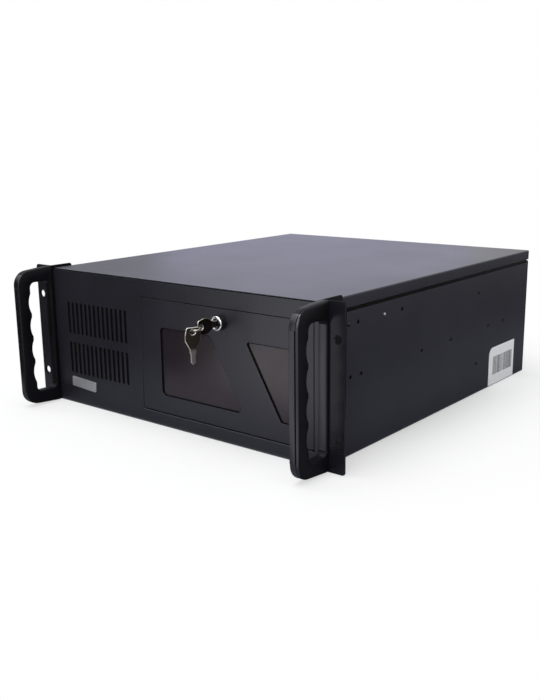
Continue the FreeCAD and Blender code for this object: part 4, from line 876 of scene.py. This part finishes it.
# %% Label
label_paper = finish("label_paper", (0.86, 0.86, 0.87), 0.55)
mottle(label_paper, 300, (0.83, 0.83, 0.84), (0.89, 0.89, 0.9))
patches(label_paper, 60, 0.48, 0.6)
bar_ink = finish("bar_ink", (0.02, 0.02, 0.022), 0.5)
mottle(bar_ink, 900, (0.015, 0.015, 0.017), (0.03, 0.03, 0.033))
label = outline_of([(380, 1.5, 1), (458.4, 1.5, 1), (458.4, 53.5, 1), (380, 53.5, 10)])
work = bmesh.new()
loft(work, [[mm(x, y, z) for y, z in moved_in(label, inset)]
            for x, inset in [(212.5, 0), (212.6, 0), (212.65, 0.06)]])
put("side_label", closed("side_label", work, 20), label_paper, "chassis")

# %% Bars on the label
bar_tree, start, end = geometry_tree("bars_on_a_line", [
    ("Count", "Int"), ("First", "Vector"), ("Step", "Vector"), ("Height", "Float"),
    ("Thin", "Float"), ("Thick", "Float"), ("Ink", "Float"), ("Seed", "Int"),
    ("Finish", "Material")])
line = bar_tree.nodes.new("GeometryNodeMeshLine")
bar = bar_tree.nodes.new("GeometryNodeMeshCube")
bar.inputs["Size"].default_value = (1, 1, 1)
width = bar_tree.nodes.new("FunctionNodeRandomValue")
scale = bar_tree.nodes.new("ShaderNodeCombineXYZ")
bars = bar_tree.nodes.new("GeometryNodeInstanceOnPoints")
bars.inputs["Rotation"].default_value = (0, math.pi / 2, 0)
thin, thick = [socket for socket in width.inputs if socket.type == "VALUE"][:2]
drawn = [socket for socket in width.outputs if socket.type == "VALUE"][0]
wire(bar_tree, (start.outputs["Count"], line.inputs["Count"]),
     (start.outputs["First"], line.inputs["Start Location"]),
     (start.outputs["Step"], line.inputs["Offset"]),
     (start.outputs["Seed"], width.inputs["Seed"]),
     (start.outputs["Thin"], thin), (start.outputs["Thick"], thick),
     (start.outputs["Height"], scale.inputs["X"]), (drawn, scale.inputs["Y"]),
     (start.outputs["Ink"], scale.inputs["Z"]),
     (line.outputs[0], bars.inputs["Points"]), (bar.outputs[0], bars.inputs["Instance"]),
     (scale.outputs[0], bars.inputs["Scale"]))
end_tree(bar_tree, start, end, bars.outputs[0])
bar_mesh = grown("label_bars", bar_tree, bpy.data.meshes.new("empty"), {
    "Count": 30, "First": mm(212.67, 393, 27.5), "Step": (0, 0.002, 0), "Height": 0.025,
    "Thin": 0.0005, "Thick": 0.0015, "Ink": 0.00006, "Seed": 4, "Finish": bar_ink})
put("label_bars", bar_mesh, bar_ink, "chassis")

# %% [markdown]
# ## Fan rotors
# A rotor is a hub with seven swept blades.  One blade is a loft of thin sections whose pitch
# flattens towards the tip, and a second tree sets its copies round the axis.  An Array modifier
# turns copies too, but the tree has its count and angle as inputs, and all five fans share it.
# The hub is turned, and the frame of each fan stays as the CAD model has it.

# %% A tree that sets copies round an axis
round_tree, start, end = geometry_tree("copies_round_an_axis", [
    ("Shape", "Object"), ("Count", "Int"), ("Turn", "Float"), ("Finish", "Material")])
shape = round_tree.nodes.new("GeometryNodeObjectInfo")
line = round_tree.nodes.new("GeometryNodeMeshLine")
line.inputs["Offset"].default_value = (0, 0, 0)
index = round_tree.nodes.new("GeometryNodeInputIndex")
angle = round_tree.nodes.new("ShaderNodeMath")
angle.operation = "MULTIPLY"
euler = round_tree.nodes.new("ShaderNodeCombineXYZ")
turn = round_tree.nodes.new("FunctionNodeEulerToRotation")
copies = round_tree.nodes.new("GeometryNodeInstanceOnPoints")
wire(round_tree, (start.outputs["Shape"], shape.inputs["Object"]),
     (start.outputs["Count"], line.inputs["Count"]),
     (index.outputs[0], angle.inputs[0]), (start.outputs["Turn"], angle.inputs[1]),
     (angle.outputs[0], euler.inputs["Z"]), (euler.outputs[0], turn.inputs[0]),
     (line.outputs[0], copies.inputs["Points"]),
     (shape.outputs["Geometry"], copies.inputs["Instance"]),
     (turn.outputs[0], copies.inputs["Rotation"]))
end_tree(round_tree, start, end, copies.outputs[0])

# %% A blade
blade_count, root_lap, end_gap = 7, 0.8, 2.4
root_pitch, pitch_loss, sweep = 54, 24, math.radians(26)


def blade_shape(hub, tip, depth):
    """One swept blade about Z in millimetres, between the hub and the tip."""
    loops = []
    for j in range(11):
        s = j / 10
        radius = hub - root_lap + (tip - hub + root_lap) * s
        rise = (depth - end_gap) * (1 - 0.12 * s)
        reach = rise / math.tan(math.radians(root_pitch - pitch_loss * s))
        above, below = [], []
        for k in range(9):
            c = k / 8 - 0.5
            turn_by = c * reach / radius + sweep * s * s
            x, y = radius * math.cos(turn_by), radius * math.sin(turn_by)
            camber = 1 - 4 * c * c
            high = depth / 2 + c * rise + 0.1 * rise * camber
            half = 0.25 + 0.45 * camber
            above.append(Vector((x, y, high + half)) / 1000)
            below.append(Vector((x, y, high - half)) / 1000)
        loops.append(above + below[::-1])
    work = bmesh.new()
    loft(work, loops)
    return closed("blade", work, 60)


# %% A rotor
def rotor_mesh(name, hub, tip, depth, centre, axis):
    """Hub and blades of one rotor, whose front faces against the axis."""
    pattern = bpy.data.objects.new("blade", blade_shape(hub, tip, depth))
    ring = grown(name, round_tree, bpy.data.meshes.new("empty"), {
        "Shape": pattern, "Count": blade_count, "Turn": 2 * math.pi / blade_count,
        "Finish": black_moulding})
    bpy.data.objects.remove(pattern)
    work = bmesh.new()
    work.from_mesh(ring)
    turned(work, [(hub * 0.2, 0.9), (hub * 0.62, 0.9), (hub * 0.66, 0.2), (hub - 1.4, 0),
                  (hub - 0.4, 0.4), (hub, 1.4), (hub, depth), (1.4, depth), (1.4, depth + 4)],
           Vector((0, 0, 0)), up)
    lean = up.rotation_difference(axis).to_matrix().to_4x4()
    work.transform(Matrix.Translation(centre) @ lean)
    return closed(name, work, 45)


# %% The five rotors
for node, hub, tip, depth, centre, axis in [
        ("front_fan_rotor", 20.4, 54.5, 18.7, mm(-132.5, 7.5, 86.6), rear),
        ("rear_fan_1_rotor", 13.6, 35.0, 18.7, mm(59, 467.3, 109.8), rear),
        ("rear_fan_2_rotor", 13.6, 35.0, 18.7, mm(-21, 467.3, 109.8), rear),
        ("psu_fan_rotor", 13.6, 35.0, 13.7, mm(160.3, 471.3, 108.2), rear),
        ("cooler_fan_rotor", 13.6, 35.0, 13.7, mm(30, 394.3, 70.3), -up)]:
    put(node + "_blades", rotor_mesh(node, hub, tip, depth, centre, axis), black_moulding,
        node_body[node], [node])

# %% [markdown]
# ## Parts on the mainboard
# With the lid off, the board should look populated.  Capacitors, chokes and chips are stamped
# on lists of places between the sockets.  A capacitor is a dark sleeve with a bright top.  Two
# materials could share its faces; one that changes with height is enough here, because they all
# stand on the same board.

# %% Finishes of the board's parts
can_sleeve = finish("can_sleeve", (0.03, 0.03, 0.05), 0.35)
by_height(can_sleeve, [(0.86, (0.02, 0.02, 0.035)), (0.875, (0.6, 0.6, 0.62))], 50)
patches(can_sleeve, 500, 0.25, 0.4)
choke_grey = finish("choke_grey", (0.07, 0.07, 0.075), 0.5)
mottle(choke_grey, 400, (0.055, 0.055, 0.06), (0.09, 0.09, 0.095))
patches(choke_grey, 500, 0.4, 0.6)
chip_black = finish("chip_black", (0.02, 0.02, 0.021), 0.45)
mottle(chip_black, 700, (0.016, 0.016, 0.017), (0.028, 0.028, 0.029))
patches(chip_black, 500, 0.35, 0.55)
print("board finishes:", [material.name for material in (can_sleeve, choke_grey, chip_black)])


# %% Blocks, and seats on the board
def block_shape(name, width, depth, height, corner, edge):
    """A block about Z with rounded corners and a rounded top, in millimetres."""
    half, deep = width / 2, depth / 2
    base = outline_of([(half, -deep, corner), (half, deep, corner), (-half, deep, corner),
                       (-half, -deep, corner)], 4)
    levels = [(0, 0), (height - edge, 0), (height - edge * 0.3, edge * 0.3), (height, edge)]
    work = bmesh.new()
    loft(work, [[Vector((x, y, z)) / 1000 for x, y in moved_in(base, inset)]
                for z, inset in levels])
    return closed(name, work)


def on_board(places):
    """Seats on the mainboard that face up."""
    board_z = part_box("mainboard")[1].z * 1000
    return [(mm(x, y, board_z), up) for x, y in places]


# %% Capacitors, chokes, chips and the chipset's fins
can_profile = [(3.9, 0), (4, 0.4), (4, 1.2), (3.7, 1.6), (4, 2.0), (4, 8.0), (3.7, 8.4),
               (3.3, 8.4), (3.1, 8.2)]
work = bmesh.new()
loft(work, [circle(radius, height, 24) for radius, height in can_profile])
can_places = ([(-10 + 11 * i, 446) for i in range(8)]
              + [(86 + 9 * (i % 2), 352 + 12 * i) for i in range(7)]
              + [(-8 + 12 * i, 342) for i in range(5)] + [(-190, 262 + 14 * i) for i in range(4)])
choke_places = [(-8 + 15 * i, 462) for i in range(7)]
chip_places = [(-100, 300), (-150, 322), (-170, 275), (-120, 262), (20, 280), (60, 300),
               (30, 318), (-75, 330)]
fin_places = [(-115 + 5 * i, 305) for i in range(9)]
stamp_piece("capacitors", closed("can_shape", work), on_board(can_places), can_sleeve)
stamp_piece("chokes", block_shape("choke", 11, 11, 7, 1.5, 0.8), on_board(choke_places),
            choke_grey)
stamp_piece("chips", block_shape("chip", 15, 15, 1.6, 0.5, 0.3), on_board(chip_places),
            chip_black)
stamp_piece("chipset_fins", block_shape("fin", 1.6, 40, 14, 0.6, 0.4), on_board(fin_places),
            brushed)

# %% [markdown]
# ## Ports, a drive's lid and socket tongues
# The back shows a D-shaped port, a round one and three audio jacks.  They could be drawn flat on
# the connectors, but a hollow shell takes real shade, so each is a short loft that stands on its
# CAD connector.  The upper drive gets a raised lid with small screws, and the two front sockets
# get the tongue that a plug slides over.

# %% Audio jacks
jack_plastic = finish("jack_plastic", (0.2, 0.3, 0.3), 0.4)
jack_tones = by_height(jack_plastic, [(0.0, (0.5, 0.16, 0.2)), (0.43, (0.12, 0.4, 0.14)),
                                      (0.66, (0.1, 0.24, 0.5))], 20)
jack_tones.color_ramp.interpolation = "CONSTANT"
patches(jack_plastic, 400, 0.32, 0.48)
port_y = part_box("rear_connectors")[1].y * 1000 - panel_y * 1000
jack_profile = [(4.6, 0), (4.6, 0.8), (4.2, 1.3), (2.2, 1.3), (1.85, 1.0), (1.8, 0.1), (0.2, 0.1)]
work = bmesh.new()
for z in (15.5, 27.3, 39.1):
    turned(work, jack_profile, mm(-39, port_y, z), rear, 32)
put("audio_jacks", closed("audio_jacks", work), jack_plastic, "chassis")

# %% The D-shaped port, the round one and their pins
shell_x, shell_z = 10, 15.5
shell = outline_of([(7.2, -3.6, 1.6), (8.4, 3.6, 1.6), (-8.4, 3.6, 1.6), (-7.2, -3.6, 1.6)], 6)
shell_profile = [(0, 0), (5.2, 0), (5.5, 0.3), (5.2, 0.6), (0.6, 0.6)]
round_profile = [(6.2, 0), (6.2, 1.5), (5.8, 1.9), (5.0, 1.9), (4.7, 1.6), (4.7, 0.2), (0.3, 0.2)]
work = bmesh.new()
loft(work, [[mm(shell_x + x, port_y + along, shell_z + z) for x, z in moved_in(shell, inset)]
            for along, inset in shell_profile])
turned(work, round_profile, mm(-19, port_y, 16.3), rear, 40)
put("rear_ports", closed("rear_ports", work), zinc, "chassis")
pin_rows = [(1.4, range(-4, 5, 2)), (-1.4, range(-3, 4, 2))]
pin_seats = [(mm(shell_x + 1.35 * step, port_y + 0.5, shell_z + z), rear)
             for z, steps in pin_rows for step in steps]
stamp_piece("port_pins", block_shape("pin", 1.0, 1.0, 4.2, 0.4, 0.25), pin_seats, brass)

# %% Drive lid and socket tongues
drive_low, drive_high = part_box("hard_drive_2")
lid_left, lid_right = drive_low.x * 1000 + 5, drive_high.x * 1000 - 5
drive_top = drive_high.z * 1000
lid_outline = outline_of([(lid_right, 58, 12), (lid_right, 188, 12), (lid_left, 188, 12),
                          (lid_left, 58, 12)])
lid_profile = [(0, 0), (0.5, 0), (0.8, 0.3), (0.8, 9), (0.4, 10)]
work = bmesh.new()
loft(work, [[mm(x, y, drive_top + z) for x, y in moved_in(lid_outline, inset)]
            for z, inset in lid_profile])
put("drive_lid", closed("drive_lid", work), zinc, "chassis")
lid_screws = [(mm(x, y, drive_top + 0.5), up) for x in (-174, -91) for y in (63, 123, 183)]
stamp_piece("drive_lid_screws", screw_shape, lid_screws, black_oxide, 0.6)
tongue_seats = [(mm(-22.0, 38.5, z + 0.9), front) for z in (43, 53)]
stamp_piece("socket_tongues", block_shape("tongue", 10.6, 1.7, 10.5, 0.5, 0.3), tongue_seats,
            button_grey)

# %% [markdown]
# ## The studio
# A pale floor, a large soft lamp overhead, a weaker one in front and a faint cool one behind.  The
# background is white for the camera and for reflections, while the light that reaches the object
# stays plain; stronger lamps would whiten it too, but they would bleach the coats.  The floor
# fades into that white a little way from the object and keeps the soft shadow under it.  Cards
# that show in reflections only give the black coats their tones.

# %% Rays that see the backdrop
def background_rays(tree):
    """One where a ray comes from the camera, a mirror or glass, and zero elsewhere."""
    rays = tree.nodes.new("ShaderNodeLightPath")
    first = tree.nodes.new("ShaderNodeMath")
    both = tree.nodes.new("ShaderNodeMath")
    first.operation = both.operation = "MAXIMUM"
    wire(tree, (rays.outputs["Is Camera Ray"], first.inputs[0]),
         (rays.outputs["Is Glossy Ray"], first.inputs[1]), (first.outputs[0], both.inputs[0]),
         (rays.outputs["Is Transmission Ray"], both.inputs[1]))
    return both.outputs[0]


# %% World
world = bpy.data.worlds.new("studio")
world.use_nodes = True
bpy.context.scene.world = world
sky = world.node_tree
ambient = sky.nodes["Background"]
ambient.inputs["Color"].default_value = (0.95, 0.97, 1.0, 1)
ambient.inputs["Strength"].default_value = 0.45
backdrop = sky.nodes.new("ShaderNodeBackground")
backdrop.inputs["Color"].default_value = (1, 1, 1, 1)
choose = sky.nodes.new("ShaderNodeMixShader")
wire(sky, (background_rays(sky), choose.inputs["Fac"]), (ambient.outputs[0], choose.inputs[1]),
     (backdrop.outputs[0], choose.inputs[2]),
     (choose.outputs[0], sky.nodes["World Output"].inputs["Surface"]))
print("world with", len(sky.nodes), "nodes")

# %% Floor
floor_finish = finish("floor_finish", (0.9, 0.9, 0.9), 0.8, specular=0.1)
tree = floor_finish.node_tree
glow = add_node(floor_finish, "ShaderNodeEmission", Strength=1.0)
distance = add_node(floor_finish, "ShaderNodeVectorMath")
distance.operation = "LENGTH"
wire(tree, (place(floor_finish, (1.0, 0.85, 1.0)), distance.inputs[0]))
fade = ramp(floor_finish, distance.outputs["Value"], [(0.2, (0.3, 0.3, 0.3)), (0.46, (1, 1, 1))])
seen = add_node(floor_finish, "ShaderNodeMath")
seen.operation = "MULTIPLY"
blend = add_node(floor_finish, "ShaderNodeMixShader")
wire(tree, (fade, seen.inputs[0]), (background_rays(tree), seen.inputs[1]),
     (seen.outputs[0], blend.inputs["Fac"]),
     (shader_of(floor_finish).outputs[0], blend.inputs[1]), (glow.outputs[0], blend.inputs[2]),
     (blend.outputs[0], tree.nodes["Material Output"].inputs["Surface"]))
work = bmesh.new()
bmesh.ops.create_circle(work, cap_ends=True, segments=96, radius=8.0)
floor = bpy.data.objects.new("floor", to_mesh("floor", work))
floor.location = (0, 0, -0.0004)
floor.data.materials.append(floor_finish)
bpy.context.scene.collection.objects.link(floor)
print("floor", [round(v, 2) for v in floor.dimensions])


# %% Helpers for lamps and cards
def softbox(name, where, aim, size, power, tint=(1, 1, 1)):
    """Area lamp of a given width and height that faces a point."""
    data = bpy.data.lights.new(name, "AREA")
    data.shape = "RECTANGLE"
    data.size, data.size_y = size
    data.energy = power
    data.color = tint
    lamp = bpy.data.objects.new(name, data)
    lamp.visible_camera = False
    lamp.location = where
    lamp.rotation_euler = (Vector(aim) - Vector(where)).to_track_quat("-Z", "Y").to_euler()
    bpy.context.scene.collection.objects.link(lamp)


def dark_card(name, cloth, corners):
    """A dark card that only shows as a reflection, as a photographer's flag does."""
    card = bpy.data.objects.new(name, bpy.data.meshes.new(name))
    card.data.from_pydata(corners, [], [range(len(corners))])
    card.data.materials.append(cloth)
    bpy.context.scene.collection.objects.link(card)
    card.visible_camera = False
    card.visible_diffuse = False
    card.visible_shadow = False
    card.visible_transmission = False


def cloth(name, colour):
    """Dull cloth for a card."""
    material = finish(name, colour, 0.9, specular=0.0)
    mottle(material, 20, [0.96 * c for c in colour], [1.04 * c for c in colour])
    return material


# %% Cards
flag_cloth = cloth("flag_cloth", (0.01, 0.01, 0.01))
slate_cloth = cloth("slate_cloth", (0.025, 0.025, 0.035))
grey_cloth = cloth("grey_cloth", (0.18, 0.18, 0.215))
pale_cloth = cloth("pale_cloth", (0.25, 0.25, 0.29))
mist_cloth = cloth("mist_cloth", (0.72, 0.72, 0.75))
under, low, above = 0.0004, 0.0006, 0.0008  # heights of the flat cards
dark_card("left_flag", flag_cloth, [
    (-0.5, -0.2, 0.004), (-0.12, -0.42, 0.004), (-0.5, -1.3, 0.7), (-1.4, -0.7, 0.7)])
dark_card("front_flag", pale_cloth, [
    (-0.6, -0.22, low), (0.24, -0.235, low), (0.2, -0.33, low), (-0.1, -0.42, low),
    (-0.32, -0.6, low), (-0.7, -1.2, low), (-1.4, -0.9, low)])
dark_card("sill_flag", grey_cloth, [
    (-0.21, -0.2245, above), (0.21, -0.2245, above), (0.21, -0.265, above), (-0.21, -0.265, above)])
dark_card("right_flag", slate_cloth, [
    (0.2135, -0.32, under), (0.9, -0.3, under), (1.8, 2.6, under), (0.2125, 2.4, under)])
dark_card("foot_flag", pale_cloth, [
    (0.2135, -0.32, low), (0.36, -0.32, low), (0.36, 0.6, low), (0.2125, 0.6, low)])
dark_card("corner_flag", flag_cloth, [
    (0.12, -0.5, low), (0.75, -0.42, low), (0.9, -0.9, low), (0.05, -0.95, low)])
dark_card("lid_flag", mist_cloth, [
    (-1.6, 0.2, 0.05), (-1.5, 1.2, 0.05), (-1.5, 1.2, 0.9), (-1.6, 0.2, 0.9)])
print("seven cards for reflections")

# %% Lamps
softbox("overhead_lamp", (-0.3, -0.5, 2.4), (0, 0, 0.1), (1.8, 1.8), 42)
softbox("front_lamp", (1.0, -2.4, 1.3), (0, 0, 0.1), (1.2, 1.2), 22)
softbox("cool_rim_lamp", (-1.9, 2.4, 0.5), (0, 0, 0.17), (1.8, 0.6), 3.2, (0.3, 0.3, 1.0))
print("lamps:", [light.name for light in bpy.data.lights])
